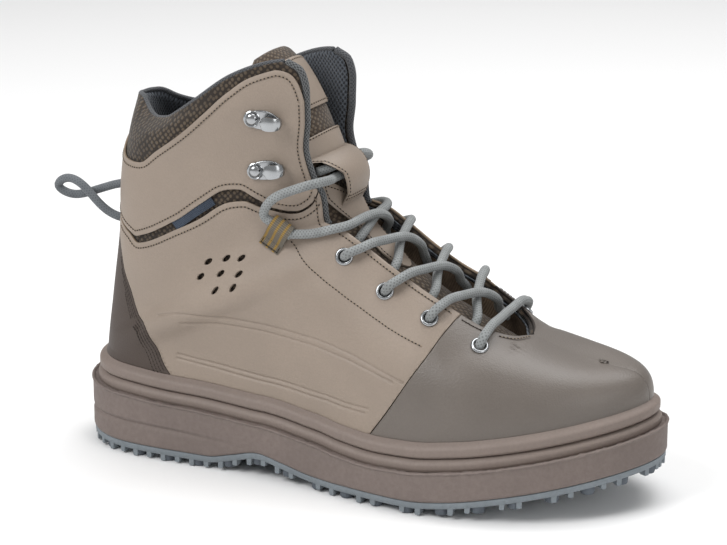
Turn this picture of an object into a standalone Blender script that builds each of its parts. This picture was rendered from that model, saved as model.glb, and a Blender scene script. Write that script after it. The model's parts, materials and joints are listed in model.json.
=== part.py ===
"""Wading boot for the right foot, men's size 43 (EU), standing on its studded rubber sole.

Metres, +Z up, +X towards the toe, +Y towards the inner (medial) side. The origin is on the
floor, at the centre of the sole's box. The upper is lofted over ribs: each rib runs from the
back seam, or from the line where the upper leaves the sole, to the front edge of the shaft,
the eyelet edge or the ridge of the toe.
"""

import math

import bmesh
import bpy
import numpy as np
from mathutils import Matrix, Vector

# Driving sizes
SOLE_LENGTH = 0.318
SOLE_WIDTH = 0.118
BOOT_HEIGHT = 0.218
TOE_SPRING = 0.0193
ARCH_LIFT = 0.0065

# Sole layers
STUD_HEIGHT = 0.0035
PLATE_THICK = 0.0035
PLATE_INSET = 0.0006
MIDSOLE_THICK = 0.0262
WELT_THICK = 0.0060
WELT_INSET = 0.0032
RAND_HEIGHT = 0.0078
RAND_INSET = 0.0040
SIDE_BEVEL = 0.0014
GROOVE_DEPTH = 0.0009
HEEL_GROOVE_HEIGHT = 0.0190
HEEL_GROOVE_FALL = 0.0055
HEEL_GROOVE_LENGTH = 0.118
INSOLE_THICK = 0.0040
INSOLE_CLEARANCE = 0.0006

# Studs
LARGE_STUD_RADIUS = 0.0064
SMALL_STUD_RADIUS = 0.0034
STUD_DRAFT = 0.0004
STUD_GAP = 0.0016
STUD_ROW_PITCH = 0.0122
STUD_PITCH = 0.0270
STUD_ROW_BOW = 0.030
EDGE_STUD_PITCH = 0.0185
EDGE_STUD_INSET = 0.0052

# Upper, its leather overlays and the tongue
UPPER_INSET = 0.0092
WALL = 0.0026
OVERLAY = 0.0012
TONGUE_THICK = 0.0045
STRAP_RISE = 0.0078
STRAP_HALF = 0.52
STRAP_REACH = (0.18, 0.45)

# Eyelets, lace hooks, webbing keepers and laces
EYELET_RADIUS = 0.0050
EYELET_BORE = 0.0029
EYELET_THICK = 0.0011
HOOK_LENGTH = 0.0185
HOOK_WIDTH = 0.0100
HOOK_PLATE = 0.0011
HOOK_REACH = 0.0058
RIVET_RADIUS = 0.0031
RIVET_HEIGHT = 0.0021
KEEPER_LENGTH = 0.0165
KEEPER_WIDTH = 0.0115
KEEPER_HEIGHT = 0.0082
KEEPER_BORE = 0.0034
KEEPER_SEAT = 0.0014
LACE_RADIUS = 0.0024
LACE_SPACING = 0.0100

# Gap between neighbouring solids, and how finely curved pieces are divided
GAP = 0.0003
SEAM_RIBS = 9
FOOT_RIBS = 21
RIB_STEPS = 8
MERGE = 0.00001

# Shares of the upper's grid: gap between overlays, how far overlays stay above the rand, and
# the smallest piece that a trimmed edge leaves
SEAM_GAP = 0.0030
OVERLAY_FOOT = 0.012
SLIVER = 0.0010

# Outline of the sole from above, heel to toe: stations along the length and, as shares of
# the width, where the outer and the inner edge lie. The first and last rows are on both.
OUTLINE_COLUMNS = ("outer_x", "outer_y", "inner_x", "inner_y")
OUTLINE = (
    (0.000, 0.000, 0.000, 0.000),
    (0.025, -0.212, 0.025, 0.203),
    (0.094, -0.339, 0.088, 0.331),
    (0.204, -0.369, 0.189, 0.364),
    (0.346, -0.377, 0.330, 0.322),
    (0.487, -0.432, 0.472, 0.356),
    (0.629, -0.504, 0.629, 0.449),
    (0.755, -0.483, 0.755, 0.483),
    (0.865, -0.373, 0.881, 0.424),
    (0.953, -0.186, 0.972, 0.271),
    (1.000, 0.042, 1.000, 0.042),
)

# Side profile of the sole: station along the length, arch lift and toe spring as shares of
# their sizes, and the midsole's thickness as a share of MIDSOLE_THICK
PROFILE_COLUMNS = ("station", "arch", "spring", "midsole")
PROFILE = (
    (0.000, 0.00, 0.10, 1.00),
    (0.050, 0.00, 0.02, 1.00),
    (0.094, 0.00, 0.00, 1.00),
    (0.190, 0.00, 0.00, 0.94),
    (0.270, 0.00, 0.00, 0.90),
    (0.315, 0.46, 0.00, 0.74),
    (0.365, 1.00, 0.00, 0.57),
    (0.410, 0.62, 0.00, 0.62),
    (0.470, 0.12, 0.00, 0.65),
    (0.520, 0.00, 0.00, 0.58),
    (0.580, 0.00, 0.00, 0.53),
    (0.645, 0.00, 0.00, 0.56),
    (0.717, 0.00, 0.11, 0.58),
    (0.786, 0.00, 0.30, 0.57),
    (0.865, 0.00, 0.54, 0.57),
    (0.943, 0.00, 0.80, 0.57),
    (1.000, 0.00, 1.00, 0.59),
)

# Ribs of the upper. seam: height of a start on the back seam above the sole, as a share of
# what the shaft rises above it; brim: else the place of the start along OUTLINE's rows.
# climb: angle of the start above the level direction along the sole's edge. edge_x, half,
# rise: the end, as shares of SOLE_LENGTH, SOLE_WIDTH and BOOT_HEIGHT; inner: what the inner
# side ends higher. back, out, drop: direction in which the rib leaves its end. low, high:
# lengths of the two handles as shares of the rib's chord.
RIB_COLUMNS = ("seam", "brim", "climb", "edge_x", "half", "rise", "inner", "back", "out", "drop", "low", "high")
RIBS = (
    (0.850, 0.0, -46, 0.400, 0.254, 0.998, -0.018, 0.84, 0.30, 0.08, 0.60, 0.40),
    (0.805, 0.0, -36, 0.423, 0.250, 0.978, -0.018, 0.86, 0.32, 0.18, 0.54, 0.40),
    (0.735, 0.0, -24, 0.432, 0.246, 0.929, -0.016, 0.90, 0.34, 0.16, 0.47, 0.42),
    (0.640, 0.0, -12, 0.432, 0.240, 0.866, -0.010, 0.92, 0.35, 0.14, 0.42, 0.44),
    (0.530, 0.0, -4, 0.428, 0.237, 0.800, -0.004, 0.92, 0.36, 0.10, 0.39, 0.43),
    (0.405, 0.0, 2, 0.440, 0.229, 0.728, 0.000, 0.92, 0.36, 0.12, 0.35, 0.42),
    (0.270, 0.0, 6, 0.456, 0.222, 0.682, 0.000, 0.92, 0.36, 0.16, 0.32, 0.40),
    (0.135, 0.0, 13, 0.462, 0.220, 0.625, 0.000, 0.90, 0.37, 0.24, 0.29, 0.38),
    (0.000, 0.0, 22, 0.497, 0.220, 0.609, 0.000, 0.84, 0.40, 0.36, 0.26, 0.36),
    (0.000, 2.2, 44, 0.535, 0.216, 0.576, 0.000, 0.70, 0.50, 0.50, 0.28, 0.36),
    (0.000, 3.9, 62, 0.579, 0.212, 0.533, 0.000, 0.52, 0.66, 0.54, 0.33, 0.37),
    (0.000, 5.0, 74, 0.626, 0.207, 0.489, 0.004, 0.36, 0.78, 0.50, 0.38, 0.40),
    (0.000, 5.9, 82, 0.673, 0.198, 0.449, 0.012, 0.22, 0.86, 0.44, 0.42, 0.42),
    (0.000, 6.6, 86, 0.723, 0.178, 0.408, 0.012, 0.10, 0.92, 0.36, 0.45, 0.44),
    (0.000, 7.1, 88, 0.765, 0.114, 0.382, 0.004, 0.04, 0.97, 0.20, 0.48, 0.44),
    (0.000, 7.6, 90, 0.783, 0.000, 0.369, 0.000, 0.00, 1.00, 0.00, 0.50, 0.44),
    (0.000, 8.3, 90, 0.824, 0.000, 0.347, 0.000, -0.25, 0.97, 0.08, 0.51, 0.44),
    (0.000, 9.1, 90, 0.862, 0.000, 0.331, 0.000, -0.58, 0.80, 0.15, 0.53, 0.44),
    (0.000, 10.0, 90, 0.899, 0.000, 0.323, 0.000, -1.00, 0.00, 0.22, 0.60, 0.46),
)
CORNER_ROW = 8
THROAT_ROW = 15
LEAN_FADE = 5.0

# Back seam from the side: heights as shares of what the shaft rises above the sole, and how
# far each lies in front of the seam's foot, as a share of SOLE_LENGTH
SEAM = ((0.0, 0.000), (0.17, 0.0155), (0.34, 0.029), (0.45, 0.036), (0.63, 0.048), (0.75, 0.056), (0.85, 0.064))

# Middle line of the boot from above: the toe bends towards the inner side
MIDDLE = ((0.0, 0.0), (0.55, 0.0), (0.80, 0.020), (1.0, 0.050))


# Edges of the leather overlays on the upper's grid: (w, u) pairs, and for the front of the
# heel counter (u, w) pairs
ANKLE_TOP = (
    (0.00, 0.110), (0.17, 0.142), (0.30, 0.162), (0.39, 0.172), (0.46, 0.156), (0.57, 0.128),
    (0.66, 0.086), (0.75, 0.048), (0.85, 0.030), (0.93, 0.032), (0.97, 0.062), (1.00, 0.130),
)
ANKLE_BOTTOM = (
    (0.00, 0.225), (0.22, 0.271), (0.31, 0.293), (0.37, 0.307), (0.44, 0.309), (0.55, 0.303),
    (0.65, 0.285), (0.73, 0.271), (0.78, 0.276), (0.82, 0.304), (0.86, 0.336), (0.93, 0.350),
    (0.97, 0.341), (1.00, 0.313),
)
STRIPE_WIDTH = (
    (0.00, 0.004), (0.30, 0.004), (0.38, 0.012), (0.55, 0.017), (0.65, 0.027), (0.78, 0.027),
    (0.82, 0.022), (0.86, 0.006), (1.00, 0.004),
)
COUNTER_FRONT = (
    (0.20, 0.080), (0.26, 0.158), (0.32, 0.232), (0.36, 0.275), (0.40, 0.335), (0.444, 0.375),
    (0.47, 0.320), (0.50, 0.174), (0.52, 0.000), (0.54, -0.200),
)
TOE_LINE = ((0.00, 0.645), (0.18, 0.657), (0.40, 0.669), (0.64, 0.679), (0.90, 0.684), (1.00, 0.686))

# Tongue from its top to its end under the vamp: x and z of its middle line as shares of
# SOLE_LENGTH and BOOT_HEIGHT, half its width and how far its sides curve in, of SOLE_WIDTH
TONGUE_COLUMNS = ("x", "z", "half", "sag")
TONGUE = (
    (0.338, 1.004, 0.215, 0.075),
    (0.376, 0.958, 0.228, 0.105),
    (0.412, 0.878, 0.228, 0.120),
    (0.434, 0.808, 0.224, 0.120),
    (0.451, 0.745, 0.220, 0.120),
    (0.469, 0.672, 0.216, 0.115),
    (0.493, 0.611, 0.214, 0.110),
    (0.529, 0.556, 0.214, 0.105),
    (0.577, 0.500, 0.216, 0.100),
    (0.637, 0.444, 0.220, 0.095),
    (0.699, 0.393, 0.215, 0.080),
    (0.757, 0.352, 0.185, 0.055),
    (0.805, 0.326, 0.140, 0.030),
)

# Places on the upper's grid: eyelets (u, w) from the toe up, hooks (u, w, tilt in degrees)
# from the top down, and the webbing keeper (u, w, tilt)
EYELETS = ((0.737, 0.819), (0.653, 0.865), (0.577, 0.880), (0.495, 0.931))
HOOKS = ((0.150, 0.865, -20), (0.251, 0.873, -5))
KEEPER = (0.385, 0.868, 39)
HOOK_BEND = ((0.36, 0.0), (0.46, 0.30), (0.46, 0.70), (0.36, 0.98), (0.14, 0.92), (0.0, 0.72))
KEEPER_OUTLINE = (
    (-0.52, 0.08), (-0.52, 0.30), (-0.22, 0.34), (-0.02, 0.78), (0.20, 1.00), (0.40, 0.92),
    (0.52, 0.55), (0.46, 0.16), (0.24, 0.00), (-0.10, 0.00),
)
LACE_PLACE_IN_KEEPER = 0.24 * KEEPER_LENGTH
LACE_HEIGHT_IN_KEEPER = 0.50 * KEEPER_HEIGHT

# Lace routes, chosen by hand: side from -1 outer over the throat to 1 inner, u, w, and the
# height above the upper as a share of LACE_LIFT, at which a lace clears an eyelet
LACE_LIFT = 3 * GAP + OVERLAY + EYELET_THICK + LACE_RADIUS
LACE_BAR = ((-1, 0.737, 0.819, 1.0), (-1, 0.736, 0.90, 1.02), (-1, 0.735, 0.99, 1.0), (0, 0.733, 1.0, 0.9))
CROSSING_STARTS = (0.712, 0.632, 0.556, 0.474)
KEEPER_APPROACH = (0.425, 0.955)



# Free ends of the lace: from the keeper in a loose bow (u, w, height above the upper) to the
# front, through the tongue's tunnel (place across the tongue, height above it) and behind the
# far edge of the shaft. The two lie side by side in the tunnel, at these places down the tongue.
LACE_BOW = ((0.312, 0.868, 0.0098), (0.299, 0.925, 0.0095), (0.288, 0.998, 0.0085))
TUNNEL_PATH = (
    (-0.72, 0.0086), (-0.54, 0.0046), (-0.25, 0.0035), (0.0, 0.0034), (0.25, 0.0035), (0.52, 0.0040),
    (0.78, 0.0044),
)
TUNNEL_PLACES = {-1: 0.3350, 1: 0.3050}

# Cord loop at the heel: places of its ends up the back seam, their offset across it, and the
# route between them as steps from its upper end, in metres
PULL_RADIUS = 0.0023
PULL_ENDS = ((0.2245, 0.0015), (0.2750, -0.0020))
PULL_ROUTE = (
    (-0.0080, 0.0003, -0.0015), (-0.0170, 0.0008, -0.0045), (-0.0250, 0.0011, -0.0075),
    (-0.0330, 0.0007, -0.0100), (-0.0400, -0.0007, -0.0095), (-0.0446, -0.0018, -0.0060),
    (-0.0410, -0.0031, -0.0017), (-0.0340, -0.0039, -0.0007), (-0.0260, -0.0043, -0.0049),
    (-0.0185, -0.0043, -0.0120), (-0.0100, -0.0037, -0.0176),
)


def crossing_route(start, u, w):
    """A strand that comes up from under one edge of the throat and ends over the other side."""
    return (
        (-0.70, start, 1.0, -0.40),
        (-0.40, 0.75 * start + 0.25 * u, 1.0, 0.05),
        (0.0, 0.5 * start + 0.5 * u, 1.0, 0.50),
        (0.55, 0.25 * start + 0.75 * u, 1.0, 0.85),
        (1.0, 0.06 * start + 0.94 * u, 0.99, 1.24),
        (1.0, u, w, 1.03),
    )


def column(table, names, name):
    return np.array([row[names.index(name)] for row in table], float)


def smooth(knots, values, at):
    """Value at each place of a natural cubic spline through the knots."""
    knots, values, at = np.asarray(knots, float), np.asarray(values, float), np.asarray(at, float)
    count, step = len(knots), np.diff(knots)
    system, right = np.eye(count), np.zeros(count)
    for i in range(1, count - 1):
        system[i, i - 1 : i + 2] = step[i - 1], 2 * (step[i - 1] + step[i]), step[i]
        right[i] = 6 * ((values[i + 1] - values[i]) / step[i] - (values[i] - values[i - 1]) / step[i - 1])
    bend = np.linalg.solve(system, right)
    i = np.clip(np.searchsorted(knots, at, side="right") - 1, 0, count - 2)
    h, a, b = step[i], (knots[i + 1] - at) / step[i], (at - knots[i]) / step[i]
    curved = ((a**3 - a) * bend[i] + (b**3 - b) * bend[i + 1]) * h**2 / 6
    return a * values[i] + b * values[i + 1] + curved


def level(knots, values, at):
    """Value at each place of a curve through the knots that never swings past them."""
    knots, values, at = np.asarray(knots, float), np.asarray(values, float), np.asarray(at, float)
    step = np.diff(knots)
    slope = np.diff(values) / step
    tangent = np.zeros(len(knots))
    for i in range(1, len(knots) - 1):
        if slope[i - 1] * slope[i] > 0:
            near, far = 2 * step[i] + step[i - 1], step[i] + 2 * step[i - 1]
            tangent[i] = (near + far) / (near / slope[i - 1] + far / slope[i])
    tangent[0], tangent[-1] = slope[0], slope[-1]
    i = np.clip(np.searchsorted(knots, at, side="right") - 1, 0, len(knots) - 2)
    t, h = np.clip((at - knots[i]) / step[i], 0, 1), step[i]
    return (
        values[i] * (1 + 2 * t) * (1 - t) ** 2
        + tangent[i] * h * t * (1 - t) ** 2
        + values[i + 1] * t**2 * (3 - 2 * t)
        + tangent[i + 1] * h * t**2 * (t - 1)
    )


def outline_point(station, side, inset=0.0):
    """Point of the sole's edge, heel at x 0: station along OUTLINE's rows, side -1 outer or 1 inner."""
    rows = np.arange(2 * len(OUTLINE) - 1)
    last = len(OUTLINE) - 1
    around = {}
    for axis in ("x", "y"):
        outer = column(OUTLINE, OUTLINE_COLUMNS, "outer_" + axis)
        inner = column(OUTLINE, OUTLINE_COLUMNS, "inner_" + axis)
        loop = np.concatenate([outer, inner[::-1][1:]])
        # two more rows at each end make the spline run smoothly through the heel
        wrapped = np.concatenate([loop[-3:-1], loop, loop[1:3]])
        around[axis] = (np.concatenate([[-2, -1], rows, [rows[-1] + 1, rows[-1] + 2]]), wrapped)
    station = np.asarray(station, float)
    place = station if side < 0 else (2 * last - station) % (2 * last)

    def at(where):
        return np.stack(
            [smooth(*around["x"], where) * SOLE_LENGTH, smooth(*around["y"], where) * SOLE_WIDTH], -1
        )

    point, ahead = at(place), at(place + 0.01) - at(place - 0.01)
    ahead /= np.linalg.norm(ahead, axis=-1, keepdims=True)
    inward = np.stack([-ahead[..., 1], ahead[..., 0]], -1)
    tangent = ahead if side < 0 else -ahead
    return point + inset * inward, tangent, -inward


def stations(steps):
    """Stations along the outline, closer together round the heel and the toe."""
    t = np.linspace(0, 1, steps + 1)
    return (len(OUTLINE) - 1) * (0.86 * t + 0.14 * (1 - np.cos(math.pi * t)) / 2)


def ground(x):
    """Height of the stud tips above the floor."""
    share = np.clip(np.asarray(x, float) / SOLE_LENGTH, 0, 1)
    place = column(PROFILE, PROFILE_COLUMNS, "station")
    arch = level(place, column(PROFILE, PROFILE_COLUMNS, "arch"), share)
    spring = level(place, column(PROFILE, PROFILE_COLUMNS, "spring"), share)
    return arch * ARCH_LIFT + spring * TOE_SPRING


def plate_bottom(x):
    return ground(x) + STUD_HEIGHT


def plate_top(x):
    return plate_bottom(x) + PLATE_THICK


def midsole_top(x):
    share = np.clip(np.asarray(x, float) / SOLE_LENGTH, 0, 1)
    place = column(PROFILE, PROFILE_COLUMNS, "station")
    return plate_top(x) + level(place, column(PROFILE, PROFILE_COLUMNS, "midsole"), share) * MIDSOLE_THICK


def midsole_bottom(x):
    return plate_top(x) + GAP


def seat(x):
    """Upper face of the welt, which the upper and the insole stand on."""
    return midsole_top(x) + GAP + WELT_THICK


def brim(x):
    """Upper edge of the rand, where the upper comes out of the sole."""
    return seat(x) + GAP + RAND_HEIGHT


def middle(x):
    knots, values = zip(*MIDDLE)
    return level(knots, values, np.asarray(x, float) / SOLE_LENGTH) * SOLE_WIDTH


CORNER_U = CORNER_ROW / (len(RIBS) - 1)
THROAT_U = THROAT_ROW / (len(RIBS) - 1)


def rib_value(name, u):
    """A column of RIBS at u, which runs from 0 at the collar to 1 at the tip of the toe."""
    u = np.asarray(u, float)
    rows = np.linspace(0, 1, len(RIBS))
    values = column(RIBS, RIB_COLUMNS, name)
    throat = THROAT_ROW + 1
    edge = level(rows[:throat], values[:throat], u)
    ridge = level(rows[THROAT_ROW:], values[THROAT_ROW:], u)
    return np.where(u <= THROAT_U, edge, ridge)


def rib_start(u, side):
    """Where the ribs at u start, and the direction in which they leave."""
    u = np.asarray(u, float)
    share = rib_value("seam", u)
    knots, values = zip(*SEAM)
    foot, tangent, outward = outline_point(rib_value("brim", u), side, UPPER_INSET)
    rise = BOOT_HEIGHT - brim(UPPER_INSET)
    lean = smooth(knots, values, share) * SOLE_LENGTH
    start = np.stack([foot[..., 0] + lean, foot[..., 1], brim(foot[..., 0]) + share * rise], -1)
    # the seam leans forward, and the sides lean in by as much at the heel, fading to the front
    lean_in = (smooth(knots, values, share + 0.01) - smooth(knots, values, share - 0.01)) * SOLE_LENGTH
    lean_in = lean_in * (1 - level((0, LEAN_FADE), (0, 1), np.clip(rib_value("brim", u), 0, LEAN_FADE)))
    uphill = np.stack([-lean_in * outward[..., 0], -lean_in * outward[..., 1], np.full_like(u, 0.02 * rise)], -1)
    uphill /= np.linalg.norm(uphill, axis=-1, keepdims=True)
    climb = np.radians(rib_value("climb", u))[..., None]
    along = np.concatenate([tangent, np.zeros_like(tangent[..., :1])], -1)
    return start, np.cos(climb) * along + np.sin(climb) * uphill


def rib_end(u, side):
    """Where the ribs at u end, and the direction from there back along the rib."""
    u = np.asarray(u, float)
    x = rib_value("edge_x", u) * SOLE_LENGTH
    y = middle(x) + side * rib_value("half", u) * SOLE_WIDTH
    z = (rib_value("rise", u) + (rib_value("inner", u) if side > 0 else 0)) * BOOT_HEIGHT
    arrive = np.stack([-rib_value("back", u), side * rib_value("out", u), -rib_value("drop", u)], -1)
    return np.stack([x, y, z], -1), arrive / np.linalg.norm(arrive, axis=-1, keepdims=True)


def skin(u, w, side):
    """Point of the upper's outer surface: u from collar to toe, w from back or sole to front."""
    u, w = np.broadcast_arrays(np.asarray(u, float), np.asarray(w, float))
    start, leave = rib_start(u, side)
    end, arrive = rib_end(u, side)
    chord = np.linalg.norm(end - start, axis=-1, keepdims=True)
    low = start + leave * chord * rib_value("low", u)[..., None]
    high = end + arrive * chord * rib_value("high", u)[..., None]
    w = w[..., None]
    return (1 - w) ** 3 * start + 3 * (1 - w) ** 2 * w * low + 3 * (1 - w) * w**2 * high + w**3 * end


def skin_normal(u, w, side):
    """Direction in which the upper's outer surface faces."""
    u, w, step = np.clip(u, 0.002, 0.998), np.clip(w, 0.002, 0.998), 0.002
    across = skin(u + step, w, side) - skin(u - step, w, side)
    along = skin(u, w + step, side) - skin(u, w - step, side)
    normal = -side * np.cross(across, along)
    return normal / np.linalg.norm(normal, axis=-1, keepdims=True)


def spot(side, u, w, lift=0.0):
    """Place on the upper, lift above it; side may also lie between -1 and 1, over the throat."""
    share = (1 + side) / 2
    point = (1 - share) * skin(u, w, -1) + share * skin(u, w, 1)
    normal = (1 - share) * skin_normal(u, w, -1) + share * skin_normal(u, w, 1)
    return point + lift * normal / np.linalg.norm(normal)


class Sheet:
    """Triangles on the upper's outer surface. Each point keeps its normal and its u and w."""

    def __init__(self, rows, faces):
        self.rows, self.faces = rows, faces

    @property
    def points(self):
        return self.rows[:, :3]

    def lifted(self, height):
        return self.points + height * self.rows[:, 3:6]

    def trimmed(self, inside):
        """The part where inside(u, w) is positive."""
        value = inside(self.rows[:, 6], self.rows[:, 7])
        value = np.where(np.abs(value) < SLIVER, SLIVER, value)
        rows, crossings, faces = list(self.rows), {}, []
        for face in self.faces:
            ring = []
            for a, b in zip(face, face[1:] + face[:1]):
                if value[a] > 0:
                    ring.append(a)
                if (value[a] > 0) != (value[b] > 0):
                    key = (min(a, b), max(a, b))
                    if key not in crossings:
                        t = value[key[0]] / (value[key[0]] - value[key[1]])
                        crossings[key] = len(rows)
                        rows.append(rows[key[0]] + t * (rows[key[1]] - rows[key[0]]))
                    ring.append(crossings[key])
            if len(ring) > 2:
                faces.append(tuple(ring))
        used = sorted({k for face in faces for k in face})
        place = {k: i for i, k in enumerate(used)}
        return Sheet(np.array([rows[k] for k in used]), [tuple(place[k] for k in face) for face in faces])


def rib_places():
    """Values of u for the ribs: some up the back seam, the rest evenly along the sole's edge."""
    seam = np.linspace(0, CORNER_U, SEAM_RIBS + 1)
    fine = np.linspace(CORNER_U, 1, 400)
    foot = np.interp(stations(FOOT_RIBS)[1:], rib_value("brim", fine), fine)
    foot[np.argmin(np.abs(foot - THROAT_U))] = THROAT_U
    return np.concatenate([seam, foot])


def foot_stations():
    """Stations of the ribs along the sole's edge, which the pieces beside the upper share."""
    u = rib_places()
    return rib_value("brim", u[u >= CORNER_U - 1e-9])


def upper_sheet(sides=(-1, 1)):
    """The upper's outer surface; its lowest strip goes down between rand and insole."""
    u = rib_places()
    w = np.concatenate([[-1.0], np.linspace(0, 1, RIB_STEPS + 1)])
    rows, faces, found = [], [], {}
    for side in sides:
        index = np.zeros((len(u), len(w)), int)
        for i, j in np.ndindex(index.shape):
            point = skin(u[i], max(w[j], 0.0), side)
            buried = w[j] < 0 and u[i] >= CORNER_U - 1e-9
            if buried:
                point[2] = seat(point[0]) + GAP
            key = tuple(np.round(point / MERGE).astype(int))
            if key not in found:
                found[key] = len(rows)
                rows.append([*point, 0, 0, 0, u[i], w[j] if buried else max(w[j], 0.0)])
            index[i, j] = found[key]
        for i, j in np.ndindex(len(u) - 1, len(w) - 1):
            if w[j] < 0 and u[i] < CORNER_U - 1e-9:
                continue
            a, b, c, d = index[i, j], index[i, j + 1], index[i + 1, j + 1], index[i + 1, j]
            for face in ((a, b, c), (a, c, d)):
                if len(set(face)) == 3:
                    faces.append(face[::-1] if side < 0 else face)
    rows = np.array(rows)
    for a, b, c in faces:
        area = np.cross(rows[b, :3] - rows[a, :3], rows[c, :3] - rows[a, :3])
        for k in (a, b, c):
            rows[k, 3:6] += area
    rows[:, 3:6] /= np.linalg.norm(rows[:, 3:6], axis=1, keepdims=True)
    return Sheet(rows, faces)


def mesh_object(name, points, faces, material, smooth_angle=35):
    mesh = bpy.data.meshes.new(name)
    mesh.from_pydata([tuple(p) for p in points], [], [tuple(f) for f in faces])
    shape = bmesh.new()
    shape.from_mesh(mesh)
    bmesh.ops.remove_doubles(shape, verts=shape.verts, dist=MERGE)
    shape.to_mesh(mesh)
    shape.free()
    mesh.materials.append(material)
    mesh.shade_smooth()
    mesh.set_sharp_from_angle(angle=math.radians(smooth_angle))
    return bpy.data.objects.new(name, mesh)


def thicken(piece, thickness, offset):
    """Makes an open sheet a closed solid: offset -1 grows it inwards, 1 outwards."""
    solidify = piece.modifiers.new("wall", "SOLIDIFY")
    solidify.thickness = thickness
    solidify.offset = offset
    return piece


def paint(name, colour, roughness, metallic=0.0):
    material = bpy.data.materials.new(name)
    material.use_nodes = True
    shader = material.node_tree.nodes["Principled BSDF"]
    shader.inputs["Base Color"].default_value = (*colour, 1.0)
    shader.inputs["Roughness"].default_value = roughness
    shader.inputs["Metallic"].default_value = metallic
    return material


def edge_ring(places, inset, height):
    """Points round the sole's edge; inset is a length, or a function of the place along it."""
    sides = []
    for side, here in ((-1, places), (1, places[1:-1][::-1])):
        depth = inset
        if callable(inset):
            depth = inset(outline_point(here, side)[0][:, 0])[:, None]
        sides.append(outline_point(here, side, depth)[0])
    ring = np.vstack(sides)
    return np.column_stack([ring, height(ring[:, 0])])


def band_faces(count, rings, closed):
    """Quads between rings of count points, from one ring to the next."""
    faces = []
    for k in range(rings if closed else rings - 1):
        near, far = k * count, (k + 1) % rings * count
        for i in range(count):
            j = (i + 1) % count
            faces.append((near + i, near + j, far + j, far + i))
    return faces


def slab(name, material, levels, places):
    """Layer of the sole: levels are (inset, height function) pairs, from its bottom to its top.

    Its flat faces are triangles, cut alike in all layers, so that neighbours stay parallel.
    """
    rings = [edge_ring(places, inset, height) for inset, height in levels]
    count, last = len(rings[0]), (len(rings) - 1) * len(rings[0])
    faces = band_faces(count, len(rings), closed=False)
    for i in range(len(places) - 1):
        far, farther = (count - i) % count, count - i - 1
        for corners in ((i, i + 1, farther), (i, farther, far)):
            if len(set(corners)) == 3:
                faces.append(corners[::-1])
                faces.append(tuple(k + last for k in corners))
    return mesh_object(name, np.vstack(rings), faces, material)


def ring_band(name, material, profile, places):
    """Band round the sole: profile is a closed line of (inset, height function) pairs."""
    rings = [edge_ring(places, inset, height) for inset, height in profile]
    return mesh_object(name, np.vstack(rings), band_faces(len(rings[0]), len(rings), closed=True), material)


def stud_places():
    """Centre and radius of each stud: rows across the sole inside a row along its edge."""
    studs = []
    for side in (-1, 1):
        here = np.linspace(0.15, len(OUTLINE) - 1.15, 400)
        edge = outline_point(here, side, EDGE_STUD_INSET)[0]
        run = np.concatenate([[0], np.cumsum(np.linalg.norm(np.diff(edge, axis=0), axis=1))])
        count = round(run[-1] / EDGE_STUD_PITCH)
        for length in np.linspace(0, run[-1], count + 1):
            studs.append((np.interp(length, run, edge[:, 0]), np.interp(length, run, edge[:, 1]), SMALL_STUD_RADIUS))
    inner = {side: outline_point(np.linspace(0, len(OUTLINE) - 1, 400), side)[0] for side in (-1, 1)}
    for row in range(int(SOLE_LENGTH / STUD_ROW_PITCH)):
        large = row % 2 == 0
        radius = LARGE_STUD_RADIUS if large else SMALL_STUD_RADIUS
        pitch = STUD_PITCH if large else STUD_PITCH / 2
        shift = (0.25 if row % 4 == 0 else -0.25) * STUD_PITCH if large else 0.0
        x = (row + 0.75) * STUD_ROW_PITCH
        low = np.interp(x, inner[-1][:, 0], inner[-1][:, 1])
        high = np.interp(x, inner[1][:, 0], inner[1][:, 1])
        for k in range(-6, 7):
            y = (low + high) / 2 + k * pitch + shift
            bowed = x - STUD_ROW_BOW * ((y - (low + high) / 2) / SOLE_WIDTH) ** 2
            clear = EDGE_STUD_INSET + SMALL_STUD_RADIUS + radius + STUD_GAP
            if low + clear < y < high - clear:
                studs.append((bowed, y, radius))
    return [stud for stud in studs if clears(stud, studs)]


def clears(stud, studs):
    """Whether a stud keeps its distance to those before it in the list."""
    for other in studs[: studs.index(stud)]:
        if math.dist(stud[:2], other[:2]) < stud[2] + other[2] + STUD_GAP:
            return False
    return True


def build_outsole(rubber, guides):
    """Rubber plate with its studs joined on."""
    plate_levels = ((PLATE_INSET, plate_bottom), (PLATE_INSET, plate_top))
    plate = slab("outsole", rubber, plate_levels, foot_stations())
    shape = bmesh.new()
    for x, y, radius in stud_places():
        tip, root = float(ground(x)), float(plate_bottom(x)) + PLATE_THICK / 2
        sides = 8 if radius > SMALL_STUD_RADIUS else 6
        bmesh.ops.create_cone(
            shape, cap_ends=True, segments=sides, radius1=radius, radius2=radius + STUD_DRAFT,
            depth=root - tip, matrix=Matrix.Translation((x, y, (root + tip) / 2)),
        )
    mesh = bpy.data.meshes.new("studs")
    shape.to_mesh(mesh)
    shape.free()
    studs = bpy.data.objects.new("studs", mesh)
    guides.append(studs)
    union = plate.modifiers.new("studs", "BOOLEAN")
    union.operation = "UNION"
    union.object = studs
    return plate


def groove_height(x):
    """Middle of the groove in the heel's side, which runs down to the arch."""
    fall = np.clip(x / HEEL_GROOVE_LENGTH, 0, 1) ** 3
    line = HEEL_GROOVE_HEIGHT - fall * HEEL_GROOVE_FALL
    return np.maximum(line, midsole_bottom(x) + 2 * SIDE_BEVEL)


def groove_depth(x):
    return GROOVE_DEPTH * np.clip(2 - 2 * x / HEEL_GROOVE_LENGTH, 0, 1)


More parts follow.
